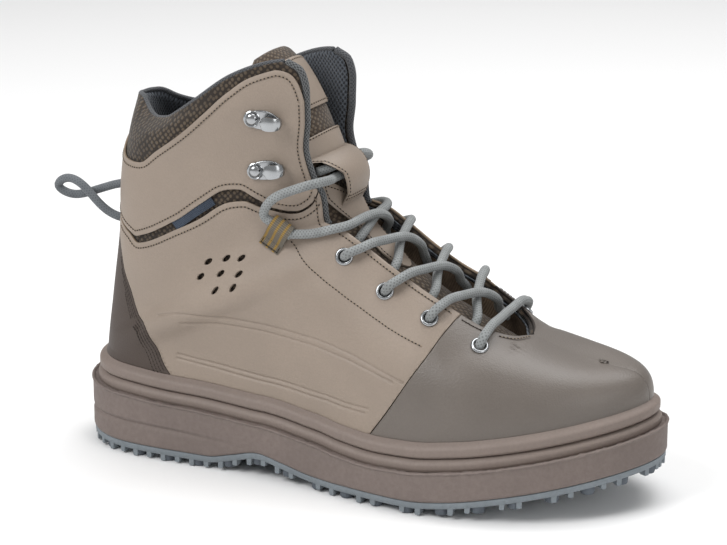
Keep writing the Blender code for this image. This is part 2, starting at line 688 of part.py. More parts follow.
def build_sole(paints, guides):
    """Outsole, midsole, welt, rand and insole."""
    brown = paints["sole_brown"]
    places = foot_stations()
    midsole = (
        (SIDE_BEVEL / 3, midsole_bottom),
        (0.0, lambda x: midsole_bottom(x) + SIDE_BEVEL),
        (0.0, lambda x: groove_height(x) - SIDE_BEVEL / 2),
        (groove_depth, groove_height),
        (0.0, lambda x: groove_height(x) + SIDE_BEVEL / 2),
        (0.0, lambda x: midsole_top(x) - SIDE_BEVEL),
        (SIDE_BEVEL, midsole_top),
    )
    welt = (
        (WELT_INSET + SIDE_BEVEL, lambda x: midsole_top(x) + GAP),
        (WELT_INSET, lambda x: midsole_top(x) + GAP + 0.35 * WELT_THICK),
        (WELT_INSET, lambda x: midsole_top(x) + GAP + 0.65 * WELT_THICK),
        (WELT_INSET + SIDE_BEVEL, seat),
    )
    inside = UPPER_INSET - GAP
    rand = (
        (inside, lambda x: seat(x) + GAP),
        (RAND_INSET + SIDE_BEVEL, lambda x: seat(x) + GAP),
        (RAND_INSET, lambda x: seat(x) + GAP + 0.3 * RAND_HEIGHT),
        (RAND_INSET, lambda x: seat(x) + GAP + 0.6 * RAND_HEIGHT),
        (RAND_INSET + 0.35 * (inside - RAND_INSET), lambda x: seat(x) + GAP + 0.92 * RAND_HEIGHT),
        (inside, brim),
    )
    bed = UPPER_INSET + WALL + INSOLE_CLEARANCE
    insole = ((bed, lambda x: seat(x) + GAP), (bed, lambda x: seat(x) + GAP + INSOLE_THICK))
    return [
        build_outsole(paints["outsole_rubber"], guides),
        slab("midsole", brown, midsole, places),
        slab("welt", brown, welt, places),
        ring_band("rand", brown, rand, places),
        slab("insole", paints["insole_cloth"], insole, places),
    ]


def table_value(table, at):
    knots, values = zip(*table)
    return level(knots, values, at)


def ankle_top(w):
    return table_value(ANKLE_TOP, np.clip(w, 0, 1))


def ankle_bottom(w):
    return table_value(ANKLE_BOTTOM, np.clip(w, 0, 1))


def quarter_top(w):
    return ankle_bottom(w) + table_value(STRIPE_WIDTH, np.clip(w, 0, 1))


def counter_front(u):
    return table_value(COUNTER_FRONT, np.clip(u, COUNTER_FRONT[0][0], COUNTER_FRONT[-1][0]))


def toe_line(w):
    return table_value(TOE_LINE, np.clip(w, 0, 1))


def clear_of_rand(u, w):
    return np.where(u < CORNER_U - 1e-9, 1.0, w - OVERLAY_FOOT)


def build_upper(paints):
    """The upper and what is sewn on it."""
    whole = upper_sheet()
    made = [thicken(mesh_object("upper", whole.points, whole.faces, paints["textile"]), WALL, -1)]

    def overlay(name, sheet, material):
        piece = mesh_object(name, sheet.lifted(GAP), sheet.faces, paints[material])
        made.append(thicken(piece, OVERLAY, 1))

    above = whole.trimmed(clear_of_rand)
    overlay(
        "ankle_panel",
        above.trimmed(lambda u, w: u - ankle_top(w)).trimmed(lambda u, w: ankle_bottom(w) - u),
        "taupe_leather",
    )
    overlay(
        "heel_counter",
        above.trimmed(lambda u, w: u - ankle_bottom(w) - SEAM_GAP).trimmed(lambda u, w: counter_front(u) - w),
        "counter_leather",
    )
    overlay("toe_cap", above.trimmed(lambda u, w: u - toe_line(w)), "toe_leather")
    for side, name in ((-1, "quarter_outer"), (1, "quarter_inner")):
        half = upper_sheet((side,)).trimmed(clear_of_rand)
        half = half.trimmed(lambda u, w: u - quarter_top(w)).trimmed(lambda u, w: toe_line(w) - SEAM_GAP - u)
        overlay(name, half.trimmed(lambda u, w: w - counter_front(u) - 2 * SEAM_GAP), "taupe_leather")
    return made


def tongue_point(v, s, lift=0.0):
    """Point on the tongue's front: v from 0 at its top to 1, s from -1 outer to 1 inner edge."""
    rows = np.linspace(0, 1, len(TONGUE))

    def value(name, at):
        return smooth(rows, column(TONGUE, TONGUE_COLUMNS, name), at)

    v, s = np.broadcast_arrays(np.asarray(v, float), np.asarray(s, float))
    x, z = value("x", v) * SOLE_LENGTH, value("z", v) * BOOT_HEIGHT
    ahead_x = (value("x", v + 0.01) - value("x", v - 0.01)) * SOLE_LENGTH
    ahead_z = (value("z", v + 0.01) - value("z", v - 0.01)) * BOOT_HEIGHT
    length = np.hypot(ahead_x, ahead_z)
    inward = np.stack([ahead_z / length, np.zeros_like(v), -ahead_x / length], -1)
    depth = value("sag", v) * SOLE_WIDTH * np.abs(s) ** 2.2 - lift
    centre = np.stack([x, middle(x) + s * value("half", v) * SOLE_WIDTH, z], -1)
    return centre + inward * depth[..., None]


def grid_faces(rows, columns):
    faces = []
    for i in range(rows - 1):
        for j in range(columns - 1):
            a = i * columns + j
            faces.append((a, a + columns, a + columns + 1, a + 1))
    return faces


def build_tongue(paints):
    """Padded tongue, and the strap sewn on it that forms a tunnel for the laces."""
    v, s = np.linspace(0, 1, 17), np.linspace(-1, 1, 9)
    points = tongue_point(v[:, None], s[None, :]).reshape(-1, 3)
    tongue = mesh_object("tongue", points, grid_faces(len(v), len(s)), paints["textile"])
    v = np.linspace(*STRAP_REACH, 11)
    s = np.linspace(-STRAP_HALF, STRAP_HALF, 5)
    rise = np.sin(np.linspace(0, math.pi, len(v))) ** 0.7 * STRAP_RISE
    points = tongue_point(v[:, None], s[None, :], 2 * GAP + rise[:, None]).reshape(-1, 3)
    strap = mesh_object("tongue_strap", points, grid_faces(len(v), len(s)), paints["taupe_leather"])
    return [thicken(tongue, TONGUE_THICK, -1), thicken(strap, OVERLAY, 1)]


def placed(side, u, w, tilt, lift):
    """Frame on the upper: X along the rib to the front, turned up by tilt, and Z outwards."""
    point, normal = skin(u, w, side), skin_normal(u, w, side)
    ahead = skin(u, w + 0.01, side) - skin(u, w - 0.01, side)
    ahead -= normal * np.dot(ahead, normal)
    ahead /= np.linalg.norm(ahead)
    upward = side * np.cross(ahead, normal)
    turn = math.radians(tilt)
    ahead, upward = (
        math.cos(turn) * ahead + math.sin(turn) * upward,
        -math.sin(turn) * ahead + math.cos(turn) * upward,
    )
    frame = Matrix([ahead, np.cross(normal, ahead), normal]).transposed().to_4x4()
    frame.translation = Vector(point + lift * normal)
    return frame


def build_eyelets(paints):
    """Turned metal rings on the quarters."""
    lift = GAP + OVERLAY + GAP
    profile = (
        (EYELET_BORE, EYELET_THICK),
        (EYELET_RADIUS - EYELET_THICK, EYELET_THICK),
        (EYELET_RADIUS, EYELET_THICK / 3),
        (EYELET_RADIUS, 0.0),
        (EYELET_BORE, 0.0),
    )
    made = []
    for side, name in ((-1, "outer"), (1, "inner")):
        for number, (u, w) in enumerate(EYELETS, 1):
            points = [(x, 0.0, z) for x, z in profile]
            mesh = bpy.data.meshes.new(f"eyelet_{name}_{number}")
            mesh.from_pydata(points, [(i, (i + 1) % len(points)) for i in range(len(points))], [])
            mesh.materials.append(paints["eyelet_metal"])
            eyelet = bpy.data.objects.new(mesh.name, mesh)
            screw = eyelet.modifiers.new("turned", "SCREW")
            screw.steps = screw.render_steps = 12
            screw.use_merge_vertices = True
            screw.merge_threshold = MERGE
            screw.use_normal_calculate = True
            eyelet.matrix_world = placed(side, u, w, 0, lift)
            made.append(eyelet)
    return made


def strip_mesh(path, half_width, thickness):
    """Bent strip: path of (x, z) pairs on its inner side, with the half width at each."""
    shape = bmesh.new()
    rows = []
    for (x, z), half in zip(path, half_width):
        rows.append([shape.verts.new((x, y, z)) for y in (-half, half)])
    for near, far in zip(rows, rows[1:]):
        shape.faces.new((near[0], far[0], far[1], near[1]))
    bmesh.ops.solidify(shape, geom=shape.faces[:], thickness=thickness)
    bmesh.ops.recalc_face_normals(shape, faces=shape.faces[:])
    return shape


def build_hooks(paints, guides):
    """Lace hooks: an oval plate, a rivet and a tongue of metal bent back over the plate."""
    made = []
    lift = GAP + OVERLAY + GAP
    for side, name in ((-1, "outer"), (1, "inner")):
        for number, (u, w, tilt) in enumerate(HOOKS, 1):
            shape = bmesh.new()
            bmesh.ops.create_cone(
                shape, cap_ends=True, segments=14, radius1=1.0, radius2=0.94, depth=HOOK_PLATE,
                matrix=Matrix.Translation((0, 0, HOOK_PLATE / 2))
                @ Matrix.Diagonal((HOOK_LENGTH / 2, HOOK_WIDTH / 2, 1, 1)),
            )
            mesh = bpy.data.meshes.new(f"hook_{name}_{number}")
            shape.to_mesh(mesh)
            shape.free()
            mesh.materials.append(paints["hook_metal"])
            hook = bpy.data.objects.new(mesh.name, mesh)
            hook.matrix_world = placed(side, u, w, tilt, lift)
            rivet = bmesh.new()
            bmesh.ops.create_cone(
                rivet, cap_ends=True, segments=10, radius1=RIVET_RADIUS, radius2=RIVET_RADIUS * 0.55,
                depth=RIVET_HEIGHT,
                matrix=Matrix.Translation((-0.29 * HOOK_LENGTH, 0, HOOK_PLATE * 0.6 + RIVET_HEIGHT / 2)),
            )
            path = [(x * HOOK_LENGTH, HOOK_PLATE * 0.5 + z * HOOK_REACH) for x, z in HOOK_BEND]
            half = [share * HOOK_WIDTH for share in (0.40, 0.40, 0.38, 0.36, 0.30, 0.20)]
            for label, form in (("rivet", rivet), ("bend", strip_mesh(path, half, HOOK_PLATE))):
                tool_mesh = bpy.data.meshes.new(label)
                form.to_mesh(tool_mesh)
                form.free()
                tool = bpy.data.objects.new(f"{mesh.name}_{label}", tool_mesh)
                tool.matrix_world = hook.matrix_world
                guides.append(tool)
                union = hook.modifiers.new(label, "BOOLEAN")
                union.operation = "UNION"
                union.object = tool
            made.append(hook)
    return made


def keeper_frame(side):
    return placed(side, *KEEPER, GAP + OVERLAY + KEEPER_SEAT)


def build_keepers(paints):
    """Webbing loops on the quarters that the laces pass through."""
    made = []
    for side, name in ((-1, "outer"), (1, "inner")):
        angles = [math.atan2(z * KEEPER_HEIGHT - LACE_HEIGHT_IN_KEEPER, x * KEEPER_LENGTH - LACE_PLACE_IN_KEEPER)
                  for x, z in KEEPER_OUTLINE]
        outer = [(x * KEEPER_LENGTH, z * KEEPER_HEIGHT) for x, z in KEEPER_OUTLINE]
        inner = [
            (LACE_PLACE_IN_KEEPER + KEEPER_BORE * math.cos(a), LACE_HEIGHT_IN_KEEPER + KEEPER_BORE * math.sin(a))
            for a in angles
        ]
        rings = []
        for y in (-KEEPER_WIDTH / 2, KEEPER_WIDTH / 2):
            rings.append([(x, y, z) for x, z in outer])
            rings.append([(x, y, z) for x, z in inner])
        rings = [rings[0], rings[2], rings[3], rings[1]]
        count = len(outer)
        keeper = mesh_object(f"keeper_{name}", np.vstack(rings), band_faces(count, 4, closed=True), paints["webbing"])
        keeper.matrix_world = keeper_frame(side)
        made.append(keeper)
    return made


def along_route(route, spacing):
    """Points at about the given spacing on a smooth curve through the route's own points."""
    route = np.array(route, float)
    run = np.concatenate([[0], np.cumsum(np.linalg.norm(np.diff(route, axis=0), axis=1))])
    at = np.linspace(0, run[-1], max(3, round(run[-1] / spacing)) + 1)
    return np.stack([smooth(run, route[:, k], at) for k in range(3)], -1)


def tube(name, points, radius, material):
    """Round cord along the points, with closed ends."""
    curve = bpy.data.curves.new(name, "CURVE")
    curve.dimensions = "3D"
    curve.bevel_depth = radius
    curve.bevel_resolution = 2
    curve.use_fill_caps = True
    curve.materials.append(material)
    spline = curve.splines.new("POLY")
    spline.points.add(len(points) - 1)
    for target, point in zip(spline.points, points):
        target.co = (*point, 1.0)
    return bpy.data.objects.new(name, curve)


def as_mesh(piece):
    """Mesh object with the shape of a curve object, its caps welded."""
    holder = bpy.context.scene.collection
    holder.objects.link(piece)
    view = bpy.context.evaluated_depsgraph_get()
    mesh = bpy.data.meshes.new_from_object(piece.evaluated_get(view))
    name, material = piece.name, piece.data.materials[0]
    bpy.data.objects.remove(piece)
    shape = bmesh.new()
    shape.from_mesh(mesh)
    bmesh.ops.remove_doubles(shape, verts=shape.verts, dist=MERGE)
    shape.to_mesh(mesh)
    shape.free()
    if not mesh.materials:
        mesh.materials.append(material)
    mesh.shade_smooth()
    mesh.set_sharp_from_angle(angle=math.radians(50))
    mesh.name = name
    return bpy.data.objects.new(name, mesh)


def strand(route, side):
    """Points of a lace strand: rows of (side, u, w, lift), the sides mirrored for side 1."""
    return [spot(-side * place, u, w, lift * LACE_LIFT) for place, u, w, lift in route]


def build_laces(paints, guides):
    """Lace crossings over the throat."""
    cord = paints["lace_cord"]
    bar = along_route(strand(LACE_BAR, -1) + strand(LACE_BAR[:-1], 1)[::-1], LACE_SPACING)
    made = [tube("lace_bar", bar, LACE_RADIUS, cord)]
    for number, (start, finish) in enumerate(zip(CROSSING_STARTS, EYELETS[1:] + (None,)), 1):
        routes = []
        for side in (-1, 1):
            if finish:
                u, w = finish
                route = strand(crossing_route(start, u, w), side)
            else:
                route = strand(crossing_route(start, *KEEPER_APPROACH), side)
                frame = keeper_frame(-side)
                inward = -1 if side > 0 else 1
                for reach, raised in ((KEEPER_WIDTH, 1.35), (0.0, 1.0)):
                    y = inward * (KEEPER_WIDTH / 2 + KEEPER_SEAT + reach)
                    place = (LACE_PLACE_IN_KEEPER, y, raised * LACE_HEIGHT_IN_KEEPER)
                    route.append(np.array(frame @ Vector(place)))
            routes.append(route)
        pair = [as_mesh(tube(f"lace_crossing_{number}", along_route(routes[0], LACE_SPACING), LACE_RADIUS, cord))]
        pair.append(as_mesh(tube(f"crossing_{number}_other", along_route(routes[1], LACE_SPACING), LACE_RADIUS, cord)))
        union = pair[0].modifiers.new("other", "BOOLEAN")
        union.operation = "UNION"
        union.object = pair[1]
        guides.append(pair[1])
        made.append(pair[0])
    return made


def build_lace_ends(paints):
    """The two free ends of the lace, which the boot holds only at the keepers and the tunnel."""
    made = []
    for side, name in ((-1, "outer"), (1, "inner")):
        frame = keeper_frame(side)
        front = KEEPER_WIDTH / 2 + KEEPER_SEAT - 2 * GAP
        route = []
        for y in (-front, 0.0, KEEPER_WIDTH / 2, KEEPER_WIDTH / 2 + 1.6 * LACE_RADIUS):
            place = (LACE_PLACE_IN_KEEPER, -side * y, LACE_HEIGHT_IN_KEEPER)
            route.append(np.array(frame @ Vector(place)))
        route += [spot(side, u, w, height) for u, w, height in LACE_BOW]
        route += [tongue_point(TUNNEL_PLACES[side], -side * s, height) for s, height in TUNNEL_PATH]
        made.append(tube(f"lace_end_{name}", along_route(route, LACE_SPACING), LACE_RADIUS, paints["lace_cord"]))
    return made


def build_pull_loop(paints):
    """Cord loop sewn in at the back seam."""
    reach = GAP + OVERLAY + 3 * GAP
    ends = []
    for u, across in PULL_ENDS:
        end = skin(u, 0.0, -1)
        ends.append(end + np.array([-reach, across, 0.0]))
    route = [ends[0]] + [ends[0] + np.array(step) for step in PULL_ROUTE] + [ends[1]]
    return tube("pull_loop", along_route(route, LACE_SPACING), PULL_RADIUS, paints["lace_cord"])


def main():
    for old in list(bpy.data.objects):
        bpy.data.objects.remove(old)
    paints = {
        "outsole_rubber": paint("outsole_rubber", (0.17, 0.20, 0.22), 0.7),
        "sole_brown": paint("sole_brown", (0.20, 0.165, 0.15), 0.6),
        "textile": paint("textile", (0.11, 0.08, 0.05), 0.9),
        "taupe_leather": paint("taupe_leather", (0.36, 0.29, 0.22), 0.6),
        "toe_leather": paint("toe_leather", (0.16, 0.13, 0.11), 0.55),
        "counter_leather": paint("counter_leather", (0.12, 0.10, 0.08), 0.55),
        "insole_cloth": paint("insole_cloth", (0.05, 0.055, 0.06), 0.95),
        "eyelet_metal": paint("eyelet_metal", (0.75, 0.75, 0.74), 0.3, 1.0),
        "hook_metal": paint("hook_metal", (0.70, 0.70, 0.70), 0.25, 1.0),
        "webbing": paint("webbing", (0.30, 0.27, 0.22), 0.9),
        "lace_cord": paint("lace_cord", (0.20, 0.20, 0.20), 0.85),
    }
    boot = bpy.data.collections.new("wading_boot")
    tools = bpy.data.collections.new("joined_shapes")
    bpy.context.scene.collection.children.link(boot)
    bpy.context.scene.collection.children.link(tools)
    guides = []
    made = build_sole(paints, guides) + build_upper(paints) + build_tongue(paints)
    made += build_eyelets(paints) + build_hooks(paints, guides) + build_keepers(paints)
    made += build_laces(paints, guides) + build_lace_ends(paints) + [build_pull_loop(paints)]
    across = [outline_point(foot_stations(), side)[0][:, 1] for side in (-1, 1)]
    centre = Matrix.Translation((-SOLE_LENGTH / 2, -(across[0].min() + across[1].max()) / 2, 0))
    for piece in made + guides:
        piece.matrix_world = centre @ piece.matrix_world
    for piece in made:
        boot.objects.link(piece)
    for guide in guides:
        tools.objects.link(guide)
        guide.hide_render = True
        guide.display_type = "WIRE"


main()
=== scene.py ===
"""Wading boot for the right foot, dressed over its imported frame: leather, textile, seams, laces, sole.

Metres, +Z up, +X towards the toe, +Y towards the inner side. The upper's surface is the same loft
as in the frame's solids, on a finer grid, so each layer lies where its solid does.
"""

import json
import math

import bmesh
import bpy
import numpy as np
from mathutils import Matrix, Vector
from mathutils.kdtree import KDTree

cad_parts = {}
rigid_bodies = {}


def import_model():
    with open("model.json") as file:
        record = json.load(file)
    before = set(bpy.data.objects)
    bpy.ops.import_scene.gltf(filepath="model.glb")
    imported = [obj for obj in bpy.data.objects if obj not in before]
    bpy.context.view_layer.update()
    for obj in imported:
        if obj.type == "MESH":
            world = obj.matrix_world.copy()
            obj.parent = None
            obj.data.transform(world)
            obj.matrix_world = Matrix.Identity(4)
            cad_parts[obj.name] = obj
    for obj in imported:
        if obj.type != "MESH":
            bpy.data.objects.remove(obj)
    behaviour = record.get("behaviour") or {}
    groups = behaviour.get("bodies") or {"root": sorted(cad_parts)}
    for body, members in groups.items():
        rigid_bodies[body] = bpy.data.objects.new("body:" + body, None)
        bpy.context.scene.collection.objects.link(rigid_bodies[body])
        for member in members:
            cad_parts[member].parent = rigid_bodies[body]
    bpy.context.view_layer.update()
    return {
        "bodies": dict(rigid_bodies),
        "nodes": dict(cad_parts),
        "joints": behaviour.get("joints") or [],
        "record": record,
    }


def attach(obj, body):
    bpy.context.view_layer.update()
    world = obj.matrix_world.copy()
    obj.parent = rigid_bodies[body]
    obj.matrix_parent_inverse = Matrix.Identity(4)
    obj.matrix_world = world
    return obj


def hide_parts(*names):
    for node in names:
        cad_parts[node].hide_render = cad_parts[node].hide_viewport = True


# Driving sizes
SOLE_LENGTH = 0.318
SOLE_WIDTH = 0.118
BOOT_HEIGHT = 0.218
TOE_SPRING = 0.0193
ARCH_LIFT = 0.0065

# Sole layers
STUD_HEIGHT = 0.0035
PLATE_THICK = 0.0035
PLATE_INSET = 0.0006
MIDSOLE_THICK = 0.0262
WELT_THICK = 0.0060
WELT_INSET = 0.0032
RAND_HEIGHT = 0.0078
RAND_INSET = 0.0040
SIDE_BEVEL = 0.0014
GROOVE_DEPTH = 0.0009
HEEL_GROOVE_HEIGHT = 0.0190
HEEL_GROOVE_FALL = 0.0055
HEEL_GROOVE_LENGTH = 0.118
INSOLE_THICK = 0.0040
INSOLE_CLEARANCE = 0.0006

# Studs
LARGE_STUD_RADIUS = 0.0064
SMALL_STUD_RADIUS = 0.0034
STUD_DRAFT = 0.0004
STUD_GAP = 0.0016
STUD_ROW_PITCH = 0.0122
STUD_PITCH = 0.0270
STUD_ROW_BOW = 0.030
EDGE_STUD_PITCH = 0.0185
EDGE_STUD_INSET = 0.0052

# Upper, its leather overlays and the tongue
UPPER_INSET = 0.0092
WALL = 0.0026
OVERLAY = 0.0012
TONGUE_THICK = 0.0045
STRAP_RISE = 0.0078

# Eyelets, lace hooks, webbing keepers and laces
EYELET_RADIUS = 0.0050
EYELET_BORE = 0.0029
EYELET_THICK = 0.0011
HOOK_LENGTH = 0.0185
HOOK_WIDTH = 0.0100
HOOK_PLATE = 0.0011
HOOK_REACH = 0.0058
RIVET_RADIUS = 0.0031
RIVET_HEIGHT = 0.0021
KEEPER_LENGTH = 0.0165
KEEPER_WIDTH = 0.0115
KEEPER_HEIGHT = 0.0082
KEEPER_SEAT = 0.0014
LACE_RADIUS = 0.0024

# Gap between neighbouring solids, and between overlays as a share of the upper's grid
GAP = 0.0003
SEAM_GAP = 0.0030

# Outline of the sole from above, heel to toe: stations along the length and, as shares of
# the width, where the outer and the inner edge lie. The first and last rows are on both.
OUTLINE_COLUMNS = ("outer_x", "outer_y", "inner_x", "inner_y")
OUTLINE = (
    (0.000, 0.000, 0.000, 0.000),
    (0.025, -0.212, 0.025, 0.203),
    (0.094, -0.339, 0.088, 0.331),
    (0.204, -0.369, 0.189, 0.364),
    (0.346, -0.377, 0.330, 0.322),
    (0.487, -0.432, 0.472, 0.356),
    (0.629, -0.504, 0.629, 0.449),
    (0.755, -0.483, 0.755, 0.483),
    (0.865, -0.373, 0.881, 0.424),
    (0.953, -0.186, 0.972, 0.271),
    (1.000, 0.042, 1.000, 0.042),
)

# Side profile of the sole: station along the length, arch lift and toe spring as shares of
# their sizes, and the midsole's thickness as a share of MIDSOLE_THICK
PROFILE_COLUMNS = ("station", "arch", "spring", "midsole")
PROFILE = (
    (0.000, 0.00, 0.10, 1.00),
    (0.050, 0.00, 0.02, 1.00),
    (0.094, 0.00, 0.00, 1.00),
    (0.190, 0.00, 0.00, 0.94),
    (0.270, 0.00, 0.00, 0.90),
    (0.315, 0.46, 0.00, 0.74),
    (0.365, 1.00, 0.00, 0.57),
    (0.410, 0.62, 0.00, 0.62),
    (0.470, 0.12, 0.00, 0.65),
    (0.520, 0.00, 0.00, 0.58),
    (0.580, 0.00, 0.00, 0.53),
    (0.645, 0.00, 0.00, 0.56),
    (0.717, 0.00, 0.11, 0.58),
    (0.786, 0.00, 0.30, 0.57),
    (0.865, 0.00, 0.54, 0.57),
    (0.943, 0.00, 0.80, 0.57),
    (1.000, 0.00, 1.00, 0.59),
)

# Ribs of the upper. seam: height of a start on the back seam above the sole, as a share of
# what the shaft rises above it; brim: else the place of the start along OUTLINE's rows.
# climb: angle of the start above the level direction along the sole's edge. edge_x, half,
# rise: the end, as shares of SOLE_LENGTH, SOLE_WIDTH and BOOT_HEIGHT; inner: what the inner
# side ends higher. back, out, drop: direction in which the rib leaves its end. low, high:
# lengths of the two handles as shares of the rib's chord.
RIB_COLUMNS = (
    "seam", "brim", "climb", "edge_x", "half", "rise", "inner", "back", "out", "drop", "low", "high",
)
RIBS = (
    (0.850, 0.0, -46, 0.400, 0.254, 0.998, -0.018, 0.84, 0.30, 0.08, 0.60, 0.40),
    (0.805, 0.0, -36, 0.423, 0.250, 0.978, -0.018, 0.86, 0.32, 0.18, 0.54, 0.40),
    (0.735, 0.0, -24, 0.432, 0.246, 0.929, -0.016, 0.90, 0.34, 0.16, 0.47, 0.42),
    (0.640, 0.0, -12, 0.432, 0.240, 0.866, -0.010, 0.92, 0.35, 0.14, 0.42, 0.44),
    (0.530, 0.0, -4, 0.428, 0.237, 0.800, -0.004, 0.92, 0.36, 0.10, 0.39, 0.43),
    (0.405, 0.0, 2, 0.440, 0.229, 0.728, 0.000, 0.92, 0.36, 0.12, 0.35, 0.42),
    (0.270, 0.0, 6, 0.456, 0.222, 0.682, 0.000, 0.92, 0.36, 0.16, 0.32, 0.40),
    (0.135, 0.0, 13, 0.462, 0.220, 0.625, 0.000, 0.90, 0.37, 0.24, 0.29, 0.38),
    (0.000, 0.0, 22, 0.497, 0.220, 0.609, 0.000, 0.84, 0.40, 0.36, 0.26, 0.36),
    (0.000, 2.2, 44, 0.535, 0.216, 0.576, 0.000, 0.70, 0.50, 0.50, 0.28, 0.36),
    (0.000, 3.9, 62, 0.579, 0.212, 0.533, 0.000, 0.52, 0.66, 0.54, 0.33, 0.37),
    (0.000, 5.0, 74, 0.626, 0.207, 0.489, 0.004, 0.36, 0.78, 0.50, 0.38, 0.40),
    (0.000, 5.9, 82, 0.673, 0.198, 0.449, 0.012, 0.22, 0.86, 0.44, 0.42, 0.42),
    (0.000, 6.6, 86, 0.723, 0.178, 0.408, 0.012, 0.10, 0.92, 0.36, 0.45, 0.44),
    (0.000, 7.1, 88, 0.765, 0.114, 0.382, 0.004, 0.04, 0.97, 0.20, 0.48, 0.44),
    (0.000, 7.6, 90, 0.783, 0.000, 0.369, 0.000, 0.00, 1.00, 0.00, 0.50, 0.44),
    (0.000, 8.3, 90, 0.824, 0.000, 0.347, 0.000, -0.25, 0.97, 0.08, 0.51, 0.44),
    (0.000, 9.1, 90, 0.862, 0.000, 0.331, 0.000, -0.58, 0.80, 0.15, 0.53, 0.44),
    (0.000, 10.0, 90, 0.899, 0.000, 0.323, 0.000, -1.00, 0.00, 0.22, 0.60, 0.46),
)
CORNER_ROW = 8
THROAT_ROW = 15
LEAN_FADE = 5.0

# Back seam from the side: heights as shares of what the shaft rises above the sole, and how
# far each lies in front of the seam's foot, as a share of SOLE_LENGTH
SEAM = (
    (0.0, 0.000), (0.17, 0.0155), (0.34, 0.029), (0.45, 0.036), (0.63, 0.048), (0.75, 0.056),
    (0.85, 0.064),
)

# Middle line of the boot from above: the toe bends towards the inner side
MIDDLE = ((0.0, 0.0), (0.55, 0.0), (0.80, 0.020), (1.0, 0.050))

# Edges of the leather overlays on the upper's grid, as (w, u) pairs
ANKLE_TOP = (
    (0.00, 0.110), (0.17, 0.142), (0.30, 0.162), (0.39, 0.172), (0.46, 0.156), (0.57, 0.128),
    (0.66, 0.086), (0.75, 0.048), (0.85, 0.030), (0.93, 0.032), (0.97, 0.062), (1.00, 0.130),
)
ANKLE_BOTTOM = (
    (0.00, 0.225), (0.22, 0.271), (0.31, 0.293), (0.37, 0.307), (0.44, 0.309), (0.55, 0.303),
    (0.65, 0.285), (0.73, 0.271), (0.78, 0.276), (0.82, 0.304), (0.86, 0.336), (0.93, 0.350),
    (0.97, 0.341), (1.00, 0.313),
)
STRIPE_WIDTH = (
    (0.00, 0.004), (0.30, 0.004), (0.38, 0.012), (0.55, 0.017), (0.65, 0.027), (0.78, 0.027),
    (0.82, 0.022), (0.86, 0.006), (1.00, 0.004),
)
TOE_LINE = ((0.00, 0.645), (0.18, 0.657), (0.40, 0.669), (0.64, 0.679), (0.90, 0.684), (1.00, 0.686))

# Tongue from its top to its end under the vamp: x and z of its middle line as shares of
# SOLE_LENGTH and BOOT_HEIGHT, half its width and how far its sides curve in, of SOLE_WIDTH
TONGUE_COLUMNS = ("x", "z", "half", "sag")
TONGUE = (
    (0.338, 1.004, 0.215, 0.075),
    (0.376, 0.958, 0.228, 0.105),
    (0.412, 0.878, 0.228, 0.120),
    (0.434, 0.808, 0.224, 0.120),
    (0.451, 0.745, 0.220, 0.120),
    (0.469, 0.672, 0.216, 0.115),
    (0.493, 0.611, 0.214, 0.110),
    (0.529, 0.556, 0.214, 0.105),
    (0.577, 0.500, 0.216, 0.100),
    (0.637, 0.444, 0.220, 0.095),
    (0.699, 0.393, 0.215, 0.080),
    (0.757, 0.352, 0.185, 0.055),
    (0.805, 0.326, 0.140, 0.030),
)

# Places on the upper's grid: eyelets (u, w) from the toe up, hooks (u, w, tilt in degrees)
# from the top down, and the webbing keeper (u, w, tilt)
EYELETS = ((0.737, 0.819), (0.653, 0.865), (0.577, 0.880), (0.495, 0.931))
HOOKS = ((0.150, 0.865, -20), (0.251, 0.873, -5))
KEEPER = (0.385, 0.868, 39)
LACE_PLACE_IN_KEEPER = 0.24 * KEEPER_LENGTH
LACE_HEIGHT_IN_KEEPER = 0.50 * KEEPER_HEIGHT

# Height at which a lace clears an eyelet, and the places u where the strands start to cross
LACE_LIFT = 3 * GAP + OVERLAY + EYELET_THICK + LACE_RADIUS
CROSSING_STARTS = (0.712, 0.632, 0.556, 0.474)

# Free ends of the lace: from the keeper in a loose bow (u, w, height above the upper) to the
# front, then through the tongue's tunnel (place across the tongue, height above it)
LACE_BOW = ((0.312, 0.868, 0.0098), (0.299, 0.925, 0.0095), (0.288, 0.998, 0.0085))
TUNNEL_PATH = (
    (-0.72, 0.0086), (-0.54, 0.0046), (-0.25, 0.0035), (0.0, 0.0034), (0.25, 0.0035), (0.52, 0.0040),
    (0.78, 0.0044),
)

# Cord loop at the heel: places of its ends up the back seam, their offset across it, and the
# route between them as steps from its upper end, in metres
PULL_RADIUS = 0.0023
PULL_ENDS = ((0.2245, 0.0015), (0.2750, -0.0020))
PULL_ROUTE = (
    (-0.0080, 0.0003, -0.0015), (-0.0170, 0.0008, -0.0045), (-0.0250, 0.0011, -0.0075),
    (-0.0330, 0.0007, -0.0100), (-0.0400, -0.0007, -0.0095), (-0.0446, -0.0018, -0.0060),
    (-0.0410, -0.0031, -0.0017), (-0.0340, -0.0039, -0.0007), (-0.0260, -0.0043, -0.0049),
    (-0.0185, -0.0043, -0.0120), (-0.0100, -0.0037, -0.0176),
)


def unit(vectors):
    return vectors / np.linalg.norm(vectors, axis=-1, keepdims=True)


def run_lengths(points):
    return np.concatenate([[0], np.cumsum(np.linalg.norm(np.diff(points, axis=0), axis=1))])


def circle(sides):
    """Angles of the corners of a ring."""
    return np.linspace(0, 2 * math.pi, sides + 1)[:-1]


def column(table, names, name):
    return np.array([row[names.index(name)] for row in table], float)


